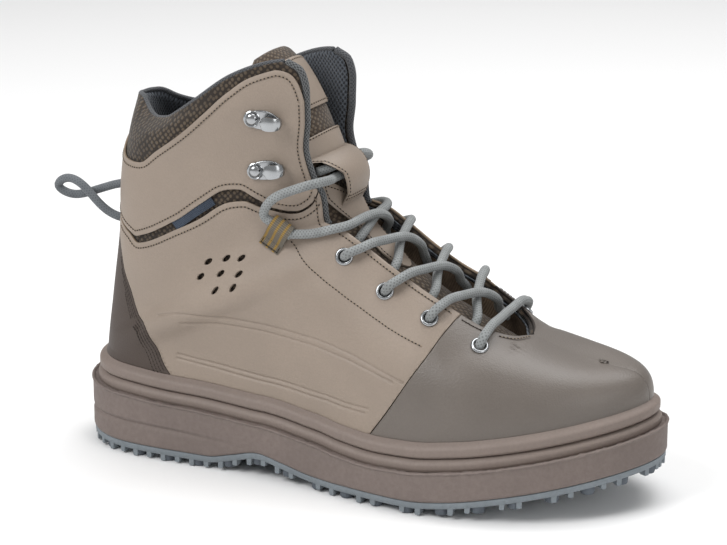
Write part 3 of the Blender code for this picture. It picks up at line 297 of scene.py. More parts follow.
def smooth(knots, values, at):
    """Value at each place of a natural cubic spline through the knots."""
    knots, values, at = np.asarray(knots, float), np.asarray(values, float), np.asarray(at, float)
    count, step = len(knots), np.diff(knots)
    system, right = np.eye(count), np.zeros(count)
    for i in range(1, count - 1):
        system[i, i - 1 : i + 2] = step[i - 1], 2 * (step[i - 1] + step[i]), step[i]
        right[i] = 6 * ((values[i + 1] - values[i]) / step[i] - (values[i] - values[i - 1]) / step[i - 1])
    bend = np.linalg.solve(system, right)
    i = np.clip(np.searchsorted(knots, at, side="right") - 1, 0, count - 2)
    h, a, b = step[i], (knots[i + 1] - at) / step[i], (at - knots[i]) / step[i]
    curved = ((a**3 - a) * bend[i] + (b**3 - b) * bend[i + 1]) * h**2 / 6
    return a * values[i] + b * values[i + 1] + curved


def level(knots, values, at):
    """Value at each place of a curve through the knots that never swings past them."""
    knots, values, at = np.asarray(knots, float), np.asarray(values, float), np.asarray(at, float)
    step = np.diff(knots)
    slope = np.diff(values) / step
    tangent = np.zeros(len(knots))
    for i in range(1, len(knots) - 1):
        if slope[i - 1] * slope[i] > 0:
            near, far = 2 * step[i] + step[i - 1], step[i] + 2 * step[i - 1]
            tangent[i] = (near + far) / (near / slope[i - 1] + far / slope[i])
    tangent[0], tangent[-1] = slope[0], slope[-1]
    i = np.clip(np.searchsorted(knots, at, side="right") - 1, 0, len(knots) - 2)
    t, h = np.clip((at - knots[i]) / step[i], 0, 1), step[i]
    return (
        values[i] * (1 + 2 * t) * (1 - t) ** 2
        + tangent[i] * h * t * (1 - t) ** 2
        + values[i + 1] * t**2 * (3 - 2 * t)
        + tangent[i + 1] * h * t**2 * (t - 1)
    )


def outline_point(station, side, inset=0.0):
    """Point of the sole's edge, heel at x 0: station along OUTLINE's rows, side -1 outer or 1 inner."""
    rows = np.arange(2 * len(OUTLINE) - 1)
    last = len(OUTLINE) - 1
    around = {}
    for axis in ("x", "y"):
        outer = column(OUTLINE, OUTLINE_COLUMNS, "outer_" + axis)
        inner = column(OUTLINE, OUTLINE_COLUMNS, "inner_" + axis)
        loop = np.concatenate([outer, inner[::-1][1:]])
        # two more rows at each end make the spline run smoothly through the heel
        wrapped = np.concatenate([loop[-3:-1], loop, loop[1:3]])
        around[axis] = (np.concatenate([[-2, -1], rows, [rows[-1] + 1, rows[-1] + 2]]), wrapped)
    station = np.asarray(station, float)
    place = station if side < 0 else (2 * last - station) % (2 * last)

    def at(where):
        return np.stack(
            [smooth(*around["x"], where) * SOLE_LENGTH, smooth(*around["y"], where) * SOLE_WIDTH], -1
        )

    point, ahead = at(place), unit(at(place + 0.01) - at(place - 0.01))
    inward = np.stack([-ahead[..., 1], ahead[..., 0]], -1)
    tangent = ahead if side < 0 else -ahead
    return point + inset * inward, tangent, -inward


def stations(steps):
    """Stations along the outline, closer together round the heel and the toe."""
    t = np.linspace(0, 1, steps + 1)
    return (len(OUTLINE) - 1) * (0.86 * t + 0.14 * (1 - np.cos(math.pi * t)) / 2)


def ground(x):
    """Height of the stud tips above the floor."""
    share = np.clip(np.asarray(x, float) / SOLE_LENGTH, 0, 1)
    place = column(PROFILE, PROFILE_COLUMNS, "station")
    arch = level(place, column(PROFILE, PROFILE_COLUMNS, "arch"), share)
    spring = level(place, column(PROFILE, PROFILE_COLUMNS, "spring"), share)
    return arch * ARCH_LIFT + spring * TOE_SPRING


def plate_bottom(x):
    return ground(x) + STUD_HEIGHT


def plate_top(x):
    return plate_bottom(x) + PLATE_THICK


def midsole_top(x):
    share = np.clip(np.asarray(x, float) / SOLE_LENGTH, 0, 1)
    place = column(PROFILE, PROFILE_COLUMNS, "station")
    return plate_top(x) + level(place, column(PROFILE, PROFILE_COLUMNS, "midsole"), share) * MIDSOLE_THICK


def midsole_bottom(x):
    return plate_top(x) + GAP


def seat(x):
    """Upper face of the welt, which the upper and the insole stand on."""
    return midsole_top(x) + GAP + WELT_THICK


def brim(x):
    """Upper edge of the rand, where the upper comes out of the sole."""
    return seat(x) + GAP + RAND_HEIGHT


def middle(x):
    knots, values = zip(*MIDDLE)
    return level(knots, values, np.asarray(x, float) / SOLE_LENGTH) * SOLE_WIDTH


CORNER_U = CORNER_ROW / (len(RIBS) - 1)
THROAT_U = THROAT_ROW / (len(RIBS) - 1)


def rib_value(name, u):
    """A column of RIBS at u, which runs from 0 at the collar to 1 at the tip of the toe."""
    u = np.asarray(u, float)
    rows = np.linspace(0, 1, len(RIBS))
    values = column(RIBS, RIB_COLUMNS, name)
    throat = THROAT_ROW + 1
    edge = level(rows[:throat], values[:throat], u)
    ridge = level(rows[THROAT_ROW:], values[THROAT_ROW:], u)
    return np.where(u <= THROAT_U, edge, ridge)


def rib_start(u, side):
    """Where the ribs at u start, and the direction in which they leave."""
    u = np.asarray(u, float)
    share = rib_value("seam", u)
    knots, values = zip(*SEAM)
    foot, tangent, outward = outline_point(rib_value("brim", u), side, UPPER_INSET)
    rise = BOOT_HEIGHT - brim(UPPER_INSET)
    lean = smooth(knots, values, share) * SOLE_LENGTH
    start = np.stack([foot[..., 0] + lean, foot[..., 1], brim(foot[..., 0]) + share * rise], -1)
    # the seam leans forward, and the sides lean in by as much at the heel, fading to the front
    lean_in = (smooth(knots, values, share + 0.01) - smooth(knots, values, share - 0.01)) * SOLE_LENGTH
    lean_in = lean_in * (1 - level((0, LEAN_FADE), (0, 1), np.clip(rib_value("brim", u), 0, LEAN_FADE)))
    uphill = [-lean_in * outward[..., 0], -lean_in * outward[..., 1], np.full_like(u, 0.02 * rise)]
    uphill = unit(np.stack(uphill, -1))
    climb = np.radians(rib_value("climb", u))[..., None]
    along = np.concatenate([tangent, np.zeros_like(tangent[..., :1])], -1)
    return start, np.cos(climb) * along + np.sin(climb) * uphill


def rib_end(u, side):
    """Where the ribs at u end, and the direction from there back along the rib."""
    u = np.asarray(u, float)
    x = rib_value("edge_x", u) * SOLE_LENGTH
    y = middle(x) + side * rib_value("half", u) * SOLE_WIDTH
    z = (rib_value("rise", u) + (rib_value("inner", u) if side > 0 else 0)) * BOOT_HEIGHT
    arrive = np.stack([-rib_value("back", u), side * rib_value("out", u), -rib_value("drop", u)], -1)
    return np.stack([x, y, z], -1), unit(arrive)


def skin(u, w, side):
    """Point of the upper's outer surface: u from collar to toe, w from back or sole to front."""
    u, w = np.broadcast_arrays(np.asarray(u, float), np.asarray(w, float))
    start, leave = rib_start(u, side)
    end, arrive = rib_end(u, side)
    chord = np.linalg.norm(end - start, axis=-1, keepdims=True)
    low = start + leave * chord * rib_value("low", u)[..., None]
    high = end + arrive * chord * rib_value("high", u)[..., None]
    w = w[..., None]
    return (1 - w) ** 3 * start + 3 * (1 - w) ** 2 * w * low + 3 * (1 - w) * w**2 * high + w**3 * end


def skin_normal(u, w, side):
    """Direction in which the upper's outer surface faces."""
    u, w, step = np.clip(u, 0.002, 0.998), np.clip(w, 0.002, 0.998), 0.002
    across = skin(u + step, w, side) - skin(u - step, w, side)
    along = skin(u, w + step, side) - skin(u, w - step, side)
    return unit(-side * np.cross(across, along))


def tongue_point(v, s, lift=0.0):
    """Point on the tongue's front: v from 0 at its top to 1, s from -1 outer to 1 inner edge."""
    rows = np.linspace(0, 1, len(TONGUE))

    def value(name, at):
        return smooth(rows, column(TONGUE, TONGUE_COLUMNS, name), at)

    v, s = np.broadcast_arrays(np.asarray(v, float), np.asarray(s, float))
    x, z = value("x", v) * SOLE_LENGTH, value("z", v) * BOOT_HEIGHT
    ahead_x = (value("x", v + 0.01) - value("x", v - 0.01)) * SOLE_LENGTH
    ahead_z = (value("z", v + 0.01) - value("z", v - 0.01)) * BOOT_HEIGHT
    length = np.hypot(ahead_x, ahead_z)
    inward = np.stack([ahead_z / length, np.zeros_like(v), -ahead_x / length], -1)
    depth = value("sag", v) * SOLE_WIDTH * np.abs(s) ** 2.2 - lift
    centre = np.stack([x, middle(x) + s * value("half", v) * SOLE_WIDTH, z], -1)
    return centre + inward * depth[..., None]


def placed(side, u, w, tilt, lift):
    """Frame on the upper: X along the rib to the front, turned up by tilt, and Z outwards."""
    point, normal = skin(u, w, side), skin_normal(u, w, side)
    ahead = skin(u, w + 0.01, side) - skin(u, w - 0.01, side)
    ahead = unit(ahead - normal * np.dot(ahead, normal))
    upward = side * np.cross(ahead, normal)
    turn = math.radians(tilt)
    ahead, upward = (
        math.cos(turn) * ahead + math.sin(turn) * upward,
        -math.sin(turn) * ahead + math.cos(turn) * upward,
    )
    frame = Matrix([ahead, np.cross(normal, ahead), normal]).transposed().to_4x4()
    frame.translation = Vector(point + lift * normal)
    return frame


def along_route(route, spacing):
    """Points at about the given spacing on a smooth curve through the route's own points."""
    route = np.array(route, float)
    run = run_lengths(route)
    at = np.linspace(0, run[-1], max(3, round(run[-1] / spacing)) + 1)
    return np.stack([smooth(run, route[:, k], at) for k in range(3)], -1)


def edge_ring(places, inset, height):
    """Points round the sole's edge; inset is a length, or a function of the place along it."""
    sides = []
    for side, here in ((-1, places), (1, places[1:-1][::-1])):
        depth = inset
        if callable(inset):
            depth = inset(outline_point(here, side)[0][:, 0])[:, None]
        sides.append(outline_point(here, side, depth)[0])
    ring = np.vstack(sides)
    return np.column_stack([ring, height(ring[:, 0])])


def band_faces(count, rings, closed):
    """Quads between rings of count points, from one ring to the next."""
    faces = []
    for k in range(rings if closed else rings - 1):
        near, far = k * count, (k + 1) % rings * count
        for i in range(count):
            j = (i + 1) % count
            faces.append((near + i, near + j, far + j, far + i))
    return faces


def stud_places():
    """Centre and radius of each stud: rows across the sole inside a row along its edge."""
    studs = []
    for side in (-1, 1):
        here = np.linspace(0.15, len(OUTLINE) - 1.15, 400)
        edge = outline_point(here, side, EDGE_STUD_INSET)[0]
        run = run_lengths(edge)
        count = round(run[-1] / EDGE_STUD_PITCH)
        for length in np.linspace(0, run[-1], count + 1):
            x, y = np.interp(length, run, edge[:, 0]), np.interp(length, run, edge[:, 1])
            studs.append((x, y, SMALL_STUD_RADIUS))
    inner = {side: outline_point(np.linspace(0, len(OUTLINE) - 1, 400), side)[0] for side in (-1, 1)}
    for row in range(int(SOLE_LENGTH / STUD_ROW_PITCH)):
        large = row % 2 == 0
        radius = LARGE_STUD_RADIUS if large else SMALL_STUD_RADIUS
        pitch = STUD_PITCH if large else STUD_PITCH / 2
        shift = (0.25 if row % 4 == 0 else -0.25) * STUD_PITCH if large else 0.0
        x = (row + 0.75) * STUD_ROW_PITCH
        low = np.interp(x, inner[-1][:, 0], inner[-1][:, 1])
        high = np.interp(x, inner[1][:, 0], inner[1][:, 1])
        for k in range(-6, 7):
            y = (low + high) / 2 + k * pitch + shift
            bowed = x - STUD_ROW_BOW * ((y - (low + high) / 2) / SOLE_WIDTH) ** 2
            clear = EDGE_STUD_INSET + SMALL_STUD_RADIUS + radius + STUD_GAP
            if low + clear < y < high - clear:
                studs.append((bowed, y, radius))
    return [stud for stud in studs if clears(stud, studs)]


def clears(stud, studs):
    """Whether a stud keeps its distance to those before it in the list."""
    for other in studs[: studs.index(stud)]:
        if math.dist(stud[:2], other[:2]) < stud[2] + other[2] + STUD_GAP:
            return False
    return True


def groove_height(x):
    """Middle of the groove in the heel's side, which runs down to the arch."""
    fall = np.clip(x / HEEL_GROOVE_LENGTH, 0, 1) ** 3
    line = HEEL_GROOVE_HEIGHT - fall * HEEL_GROOVE_FALL
    return np.maximum(line, midsole_bottom(x) + 2 * SIDE_BEVEL)


def groove_depth(x):
    return GROOVE_DEPTH * np.clip(2 - 2 * x / HEEL_GROOVE_LENGTH, 0, 1)


def table_value(table, at):
    knots, values = zip(*table)
    return level(knots, values, at)


def ankle_top(w):
    return table_value(ANKLE_TOP, np.clip(w, 0, 1))


def ankle_bottom(w):
    return table_value(ANKLE_BOTTOM, np.clip(w, 0, 1))


def quarter_top(w):
    return ankle_bottom(w) + table_value(STRIPE_WIDTH, np.clip(w, 0, 1))


def toe_line(w):
    return table_value(TOE_LINE, np.clip(w, 0, 1))


# Camera: place in the photograph's frame
CAMERA_TURN = 24.5
CAMERA_RISE = 16.5
CAMERA_DISTANCE = 1.300
CAMERA_TARGET = (0.0, 0.00125, 0.094)
CAMERA_FOCAL = 2517.9
CAMERA_SHIFT = (4.364, 19.463)
PICTURE_WIDTH = 727
SENSOR_WIDTH = 36.0

# Fine grid of the upper, and the layers on it
FINE_U = 325
FINE_W = 122
LEATHER = 0.0013
LINING_PAD = 0.0042
STITCH_PITCH = 0.0020
STITCH_EDGE = 0.0028
# Places of the colour sockets on a Mix node: factor, A, B and the result
MIX_SOCKETS = (0, 6, 7, 2)

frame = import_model()


def srgb(red, green, blue):
    """Linear colour of a screen colour given in 0 to 255."""
    return tuple((c / 255) ** 2.2 for c in (red, green, blue))


def scaled(colour, by):
    return tuple(min(1.0, c * by) for c in colour)


class Shade:
    """A node material, built up from one Principled shader."""

    def __init__(self, name, colour, roughness, metallic=0.0):
        self.material = bpy.data.materials.new(name)
        self.material.use_nodes = True
        self.tree = self.material.node_tree
        self.shader = self.tree.nodes["Principled BSDF"]
        self.shader.inputs["Base Color"].default_value = (*colour, 1.0)
        self.shader.inputs["Roughness"].default_value = roughness
        self.shader.inputs["Metallic"].default_value = metallic

    def node(self, kind, **settings):
        made = self.tree.nodes.new("ShaderNode" + kind)
        for key, value in settings.items():
            setattr(made, key, value)
        return made

    def feed(self, socket, value):
        if isinstance(value, bpy.types.NodeSocket):
            self.tree.links.new(value, socket)
        elif isinstance(value, tuple) and len(value) == 3 and len(socket.default_value) == 4:
            socket.default_value = (*value, 1.0)
        else:
            socket.default_value = value

    def place(self, kind="Object"):
        return self.node("TexCoord").outputs[kind]

    def mapped(self, vector, scale=(1, 1, 1), turn=(0, 0, 0)):
        made = self.node("Mapping")
        self.feed(made.inputs["Vector"], vector)
        made.inputs["Scale"].default_value = scale
        made.inputs["Rotation"].default_value = turn
        return made.outputs["Vector"]

    def noise(self, vector, scale, detail=3.0, rough=0.55):
        made = self.node("TexNoise")
        self.feed(made.inputs["Vector"], vector)
        for name, value in (("Scale", scale), ("Detail", detail), ("Roughness", rough)):
            made.inputs[name].default_value = value
        return made.outputs["Fac"]

    def cells(self, vector, scale, randomness=1.0, dimensions="3D"):
        made = self.node("TexVoronoi", voronoi_dimensions=dimensions)
        self.feed(made.inputs["Vector"], vector)
        made.inputs["Scale"].default_value = scale
        made.inputs["Randomness"].default_value = randomness
        return made.outputs["Distance"]

    def math(self, operation, a, b=0.0):
        made = self.node("Math", operation=operation)
        self.feed(made.inputs[0], a)
        self.feed(made.inputs[1], b)
        return made.outputs[0]

    def range(self, value, low, high, to_low=0.0, to_high=1.0):
        made = self.node("MapRange")
        self.feed(made.inputs["Value"], value)
        for name, number in (("From Min", low), ("From Max", high), ("To Min", to_low), ("To Max", to_high)):
            made.inputs[name].default_value = number
        return made.outputs["Result"]

    def mix(self, share, a, b):
        made = self.node("Mix", data_type="RGBA")
        factor, first, second, result = MIX_SOCKETS
        self.feed(made.inputs[factor], share)
        self.feed(made.inputs[first], a)
        self.feed(made.inputs[second], b)
        return made.outputs[result]

    def parts(self, vector):
        made = self.node("SeparateXYZ")
        self.feed(made.inputs[0], vector)
        return made.outputs

    def bump(self, height, distance, strength):
        made = self.node("Bump")
        self.feed(made.inputs["Height"], height)
        made.inputs["Distance"].default_value = distance
        made.inputs["Strength"].default_value = strength
        self.feed(self.shader.inputs["Normal"], made.outputs["Normal"])

    def colour(self, value):
        self.feed(self.shader.inputs["Base Color"], value)

    def rough(self, value):
        self.feed(self.shader.inputs["Roughness"], value)


def leather(name, colour, roughness, grain=0.00012, spread=0.07, coat=0.0):
    """Coated leather: fine pebbled grain, soft cloudy tone, faint scuffs."""
    paint = Shade(name, colour, roughness)
    place = paint.place()
    cloud = paint.noise(place, 26, 4)
    fine = paint.noise(place, 900, 2)
    tone = paint.mix(paint.range(cloud, 0.3, 0.7), scaled(colour, 1 - spread), scaled(colour, 1 + spread))
    tone = paint.mix(paint.range(fine, 0.35, 0.65, 0.0, 0.35), tone, scaled(colour, 1 - 2 * spread))
    paint.colour(tone)
    paint.rough(paint.range(cloud, 0.3, 0.7, roughness - 0.05, roughness + 0.06))
    pebble = paint.cells(place, 1150)
    paint.bump(paint.math("ADD", pebble, paint.math("MULTIPLY", fine, 0.8)), grain, 0.55)
    paint.shader.inputs["Coat Weight"].default_value = coat
    paint.shader.inputs["Coat Roughness"].default_value = 0.35
    return paint.material


def dotted_textile(name, ground_colour, dot_colour, pitch=0.0026):
    """Woven textile with staggered lighter dots."""
    paint = Shade(name, ground_colour, 0.92)
    flat = paint.mapped(paint.place("UV"), (1 / pitch, 1 / pitch, 1), (0, 0, math.radians(45)))
    dot = paint.cells(flat, 1.0, 0.38, dimensions="2D")
    weave = paint.mapped(paint.place("UV"), (1 / 0.0007, 1 / 0.0007, 1))
    thread = paint.cells(weave, 1.0, 0.25, dimensions="2D")
    cloud = paint.noise(paint.place(), 60, 3)
    share = paint.range(dot, 0.22, 0.42, 1.0, 0.0)
    share = paint.math("MULTIPLY", share, paint.range(cloud, 0.25, 0.7, 0.35, 1.0))
    base = paint.mix(paint.range(cloud, 0.3, 0.7), scaled(ground_colour, 0.82), scaled(ground_colour, 1.18))
    # painted shade: the low gaps between the woven threads are mixed towards a darker colour
    base = paint.mix(paint.range(thread, 0.3, 0.7, 0.0, 0.5), base, scaled(ground_colour, 0.55))
    paint.colour(paint.mix(share, base, dot_colour))
    height = paint.math("ADD", paint.math("MULTIPLY", share, 0.7), paint.math("MULTIPLY", thread, -0.5))
    paint.bump(height, 0.0005, 0.8)
    paint.shader.inputs["Sheen Weight"].default_value = 0.15
    return paint.material


def knit(name, dark, light, pitch=0.0016):
    """Knitted mesh lining: rows of small open stitches, whose sunken middles take the dark colour as painted
    shade.
    """
    paint = Shade(name, dark, 0.95)
    flat = paint.mapped(paint.place("UV"), (1 / pitch, 0.72 / pitch, 1), (0, 0, math.radians(45)))
    hole = paint.cells(flat, 1.0, 0.08, dimensions="2D")
    share = paint.range(hole, 0.2, 0.5)
    # painted shade: the sunken open stitches take the dark colour
    paint.colour(paint.mix(share, dark, light))
    paint.bump(share, 0.0006, 0.9)
    paint.shader.inputs["Sheen Weight"].default_value = 0.2
    return paint.material


def ribbed_textile(name, dark, light, pitch=0.0011):
    """Textile with fine cross ribs, with painted shade in the troughs between them."""
    paint = Shade(name, dark, 0.93)
    across = paint.parts(paint.place("UV"))[1]
    wobble = paint.noise(paint.place(), 500, 2)
    wave = paint.math("SINE", paint.math("ADD", paint.math("MULTIPLY", across, 2 * math.pi / pitch), wobble))
    share = paint.range(wave, -1.0, 1.0)
    cloud = paint.noise(paint.place(), 90, 3)
    tone = paint.mix(paint.range(cloud, 0.3, 0.7), dark, light)
    # painted shade: the troughs between the ribs are mixed towards a darker colour
    paint.colour(paint.mix(paint.range(wave, -1, 1, 0.45, 0.0), tone, scaled(dark, 0.5)))
    paint.bump(share, 0.0004, 0.7)
    return paint.material


def moulded(name, colour, roughness, speck=0.12, grain=0.00025, scale=420):
    """Moulded rubber or foam with a fine pore grain and faint stains."""
    paint = Shade(name, colour, roughness)
    place = paint.place()
    cloud = paint.noise(place, 35, 5, 0.6)
    fine = paint.noise(place, scale, 3, 0.65)
    dim, bright = scaled(colour, 1 - 0.6 * speck), scaled(colour, 1 + 0.6 * speck)
    tone = paint.mix(paint.range(cloud, 0.3, 0.7), dim, bright)
    tone = paint.mix(paint.range(fine, 0.35, 0.7, 0.0, 0.5), tone, scaled(colour, 1 - 1.6 * speck))
    paint.colour(tone)
    paint.rough(paint.range(fine, 0.3, 0.7, roughness - 0.06, min(1.0, roughness + 0.08)))
    paint.bump(fine, grain, 0.6)
    return paint.material


def braided(name, dark, light, turns=6, pitch=0.0034):
    """Round braid: strands that cross both ways, with painted shade in the low places between them. U runs
    round the cord and V along it, in metres.
    """
    paint = Shade(name, dark, 0.85)
    parts = paint.parts(paint.place("UV"))
    around = paint.math("MULTIPLY", parts[0], 2 * math.pi * turns)
    along = paint.math("MULTIPLY", parts[1], 2 * math.pi / pitch)
    one = paint.math("SINE", paint.math("ADD", around, paint.math("MULTIPLY", along, 2.0)))
    other = paint.math("SINE", paint.math("SUBTRACT", around, paint.math("MULTIPLY", along, 2.0)))
    weave = paint.math("MAXIMUM", one, other)
    share = paint.range(weave, -1.0, 0.5, 0.25, 1.0)
    cloud = paint.noise(paint.place(), 160, 3)
    tone = paint.mix(paint.range(cloud, 0.3, 0.7), scaled(light, 0.85), scaled(light, 1.1))
    # painted shade: the dark colour fills the low places between the strands, where the bump sinks
    paint.colour(paint.mix(share, dark, tone))
    paint.bump(share, 0.00022, 0.7)
    paint.shader.inputs["Sheen Weight"].default_value = 0.1
    return paint.material


def metal(name, colour, roughness):
    """Polished nickel with faint handling marks."""
    paint = Shade(name, colour, roughness, 1.0)
    smear = paint.noise(paint.place(), 300, 3)
    paint.rough(paint.range(smear, 0.3, 0.7, roughness - 0.05, roughness + 0.08))
    return paint.material


def striped_webbing(name, width):
    """Grey webbing with ochre stripes along it, and painted shade in the troughs of its ribs. U runs along
    and V across it, in metres.
    """
    grey, ochre, dark = srgb(112, 106, 96), srgb(158, 126, 62), srgb(64, 60, 54)
    paint = Shade(name, grey, 0.92)
    parts = paint.parts(paint.place("UV"))
    across = paint.math("MULTIPLY", parts[1], 1 / width)
    stripe = paint.math("SINE", paint.math("MULTIPLY", across, 2 * math.pi * 3))
    ribs = paint.math("SINE", paint.math("MULTIPLY", parts[0], 2 * math.pi / 0.0009))
    tone = paint.mix(paint.range(stripe, 0.2, 0.7), grey, ochre)
    # painted shade: the troughs of the ribs are mixed towards the dark colour
    paint.colour(paint.mix(paint.range(ribs, -1, 1, 0.5, 0.0), tone, dark))
    paint.bump(ribs, 0.0003, 0.7)
    return paint.material


NICKEL = (0.36, 0.37, 0.38)
PAINTS = {
    "taupe": leather("taupe_leather_grain", srgb(137, 124, 112), 0.55, coat=0.04),
    "taupe_edge": leather("taupe_leather_cut_edge", srgb(128, 112, 95), 0.8),
    "toe": leather("toe_leather_grain", srgb(97, 90, 84), 0.46, grain=0.00016, coat=0.12),
    "counter": leather("counter_leather_grain", srgb(66, 56, 50), 0.6, grain=0.00014),
    "dark_edge": leather("dark_leather_cut_edge", srgb(52, 46, 42), 0.85),
    "textile": dotted_textile("brown_dotted_textile", srgb(40, 32, 25), srgb(88, 76, 62)),
    "ribbed": ribbed_textile("brown_ribbed_textile", srgb(62, 50, 40), srgb(108, 92, 75)),
    "lining": knit("grey_knit_lining", srgb(32, 35, 40), srgb(78, 83, 90)),
    "binding": knit("grey_mesh_binding", srgb(44, 46, 48), srgb(98, 100, 101), 0.0011),
    "midsole": moulded("brown_midsole_foam", srgb(110, 99, 94), 0.72),
    "rand": moulded("brown_rand_rubber", srgb(120, 108, 101), 0.62, 0.08, 0.00015, 600),
    "outsole": moulded("grey_outsole_rubber", srgb(116, 123, 128), 0.7, 0.14),
    "under": moulded("grey_tread_rubber", srgb(82, 88, 95), 0.75, 0.10),
    "insole": ribbed_textile("insole_cloth", srgb(44, 46, 50), srgb(70, 74, 78), 0.0016),
    "lace": braided("grey_braided_lace", srgb(70, 72, 72), srgb(132, 135, 135)),
    "metal": metal("polished_nickel", NICKEL, 0.24),
    "thread": moulded("seam_thread", srgb(134, 119, 102), 0.8, 0.1, 0.0001, 2500),
    "dark_thread": moulded("dark_seam_thread", srgb(58, 51, 46), 0.8, 0.1, 0.0001, 2500),
    # painted shade of the needle holes: the dark colour of the flat marks at each stitch's ends
    "hole": moulded("needle_hole_shade", srgb(38, 32, 28), 0.95, 0.1, 0.0001, 2500),
    "label": ribbed_textile("label_cloth", srgb(52, 60, 72), srgb(66, 76, 90), 0.0008),
    "webbing": striped_webbing("striped_webbing", KEEPER_WIDTH),
    "tongue": dotted_textile("tongue_dotted_textile", srgb(58, 47, 37), srgb(102, 89, 74), 0.0024),
    "chrome": metal("polished_chrome", NICKEL, 0.22),
    "pull": braided("dark_braided_cord", srgb(52, 55, 58), srgb(98, 102, 106)),
    "piping": knit("dark_grey_piping", srgb(48, 50, 54), srgb(84, 86, 90), 0.0010),
}

# From the sole's own place, heel at x 0, to the boot's middle over the origin
SHIFT = np.array([
    -SOLE_LENGTH / 2,
    -(outline_point(np.linspace(0, 10, 200), -1)[0][:, 1].min()
      + outline_point(np.linspace(0, 10, 200), 1)[0][:, 1].max()) / 2,
    0.0,
])


def piece(name, points, faces, paint, slot, uv=None, flat=False, sharp=None, edge_paint=None):
    """Mesh object that rides on the boot. uv holds a pair for each point."""
    mesh = bpy.data.meshes.new(name)
    mesh.from_pydata(np.asarray(points, float).tolist(), [], [tuple(int(i) for i in f) for f in faces])
    mesh.materials.append(PAINTS[paint])
    if edge_paint:
        mesh.materials.append(PAINTS[edge_paint])
    if uv is not None:
        layer = mesh.uv_layers.new(name="UVMap")
        corners = np.zeros(len(mesh.loops), int)
        mesh.loops.foreach_get("vertex_index", corners)
        layer.data.foreach_set("uv", np.asarray(uv, float)[corners].ravel())
    if not flat:
        mesh.shade_smooth()
        if sharp:
            mesh.set_sharp_from_angle(angle=math.radians(sharp))
    made = bpy.data.objects.new(name, mesh)
    bpy.context.scene.collection.objects.link(made)
    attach(made, "root")
    return made


def settle(made):
    """Applies the modifiers of a piece."""
    view = bpy.context.evaluated_depsgraph_get()
    mesh = bpy.data.meshes.new_from_object(made.evaluated_get(view), depsgraph=view)
    made.modifiers.clear()
    old = made.data
    made.data = mesh
    bpy.data.meshes.remove(old)


def solid(made, thickness, rim=0):
    """Gives a sheet its thickness; rim picks the material of its cut edge."""
    wall = made.modifiers.new("wall", "SOLIDIFY")
    wall.thickness = thickness
    wall.offset = -1.0
    wall.material_offset_rim = rim
    wall.use_quality_normals = False
    settle(made)


def joined(shapes):
    """One set of points, faces and uv from several."""
    points, faces, uvs, base = [], [], [], 0
    for shape in shapes:
        points.append(shape[0])
        faces += [tuple(i + base for i in face) for face in shape[1]]
        uvs.append(shape[2] if len(shape) > 2 else np.zeros((len(shape[0]), 2)))
        base += len(shape[0])
    return np.vstack(points), faces, np.vstack(uvs)


# Soft creases of the upper: side, line on the grid, half width and height in metres
CREASES = (
    (-1, ((0.30, 0.93), (0.36, 0.78), (0.42, 0.60)), 0.011, -0.0012),
    (-1, ((0.34, 0.95), (0.41, 0.80), (0.48, 0.62)), 0.009, 0.0009),
    (-1, ((0.50, 0.72), (0.58, 0.60), (0.66, 0.42)), 0.016, 0.0010),
    (-1, ((0.12, 0.30), (0.20, 0.52), (0.22, 0.74)), 0.016, -0.0011),
    (-1, ((0.26, 0.12), (0.36, 0.30), (0.44, 0.42)), 0.015, -0.0010),
    (-1, ((0.69, 0.60), (0.72, 0.72), (0.765, 0.86)), 0.009, -0.0008),
    (-1, ((0.70, 0.25), (0.76, 0.55), (0.83, 0.85)), 0.014, 0.0009),
    (1, ((0.30, 0.93), (0.38, 0.74), (0.44, 0.55)), 0.012, -0.0012),
    (1, ((0.50, 0.70), (0.60, 0.55), (0.68, 0.38)), 0.015, 0.0011),
    (1, ((0.14, 0.28), (0.22, 0.52), (0.22, 0.78)), 0.016, -0.0011),
    (1, ((0.70, 0.62), (0.74, 0.80), (0.79, 0.95)), 0.009, -0.0008),
)


# How the collar's back part is drawn in and up, in millimetres at its edge: w, forward, inward, up
COLLAR_SHIFT = (
    (0.000, -2.8, 0.0, -6.0), (0.040, -1.0, 1.5, -0.4), (0.077, 0.3, 3.5, 3.9), (0.116, 1.4, 5.5, 7.1),
    (0.154, 2.5, 7.0, 9.4), (0.193, 3.8, 7.5, 9.5), (0.232, 4.8, 7.5, 8.0), (0.270, 5.0, 7.2, 6.6),
    (0.309, 5.0, 6.8, 5.0), (0.347, 4.9, 6.0, 3.3), (0.386, 4.9, 5.2, 1.9), (0.425, 4.5, 4.4, 0.7),
    (0.463, 3.9, 3.5, -0.6), (0.502, 2.9, 2.6, -1.6), (0.541, 2.1, 1.8, -2.1), (0.579, 1.3, 1.0, -2.6),
    (0.618, 0.6, 0.5, -2.8), (0.656, 0.1, 0.2, -2.7), (0.695, -0.3, 0.0, -2.2), (0.734, -0.4, 0.0, -1.3),
    (0.772, 0.0, 0.0, -0.3), (0.820, 0.0, 0.0, 0.0), (1.000, 0.0, 0.0, 0.0),
)
COLLAR_FADE = 0.13


def collar_shift(u, w, side):
    """Shift of the collar's edge, fading down the shaft."""
    table = np.array(COLLAR_SHIFT)
    forward, inward, up = (smooth(table[:, 0], table[:, k] / 1000, w) for k in (1, 2, 3))
    fade = np.clip(1 - u / COLLAR_FADE, 0, 1) ** 1.6
    return fade[:, None, None] * np.stack([forward, -side * inward, up], -1)[None]


def calmed(normal, rounds=5, limit=0.94):
    """Normals with the few that stand out of their neighbours' run put back into it."""
    soft = normal
    for _ in range(rounds):
        for axis in (0, 1):
            wide = np.concatenate([soft.take([0], axis), soft, soft.take([-1], axis)], axis)
            count = wide.shape[axis]
            ahead, behind = wide.take(range(2, count), axis), wide.take(range(count - 2), axis)
            soft = 0.5 * soft + 0.25 * (ahead + behind)
    soft = soft / np.maximum(np.linalg.norm(soft, axis=-1, keepdims=True), 1e-9)
    return np.where((normal * soft).sum(-1, keepdims=True) < limit, soft, normal)


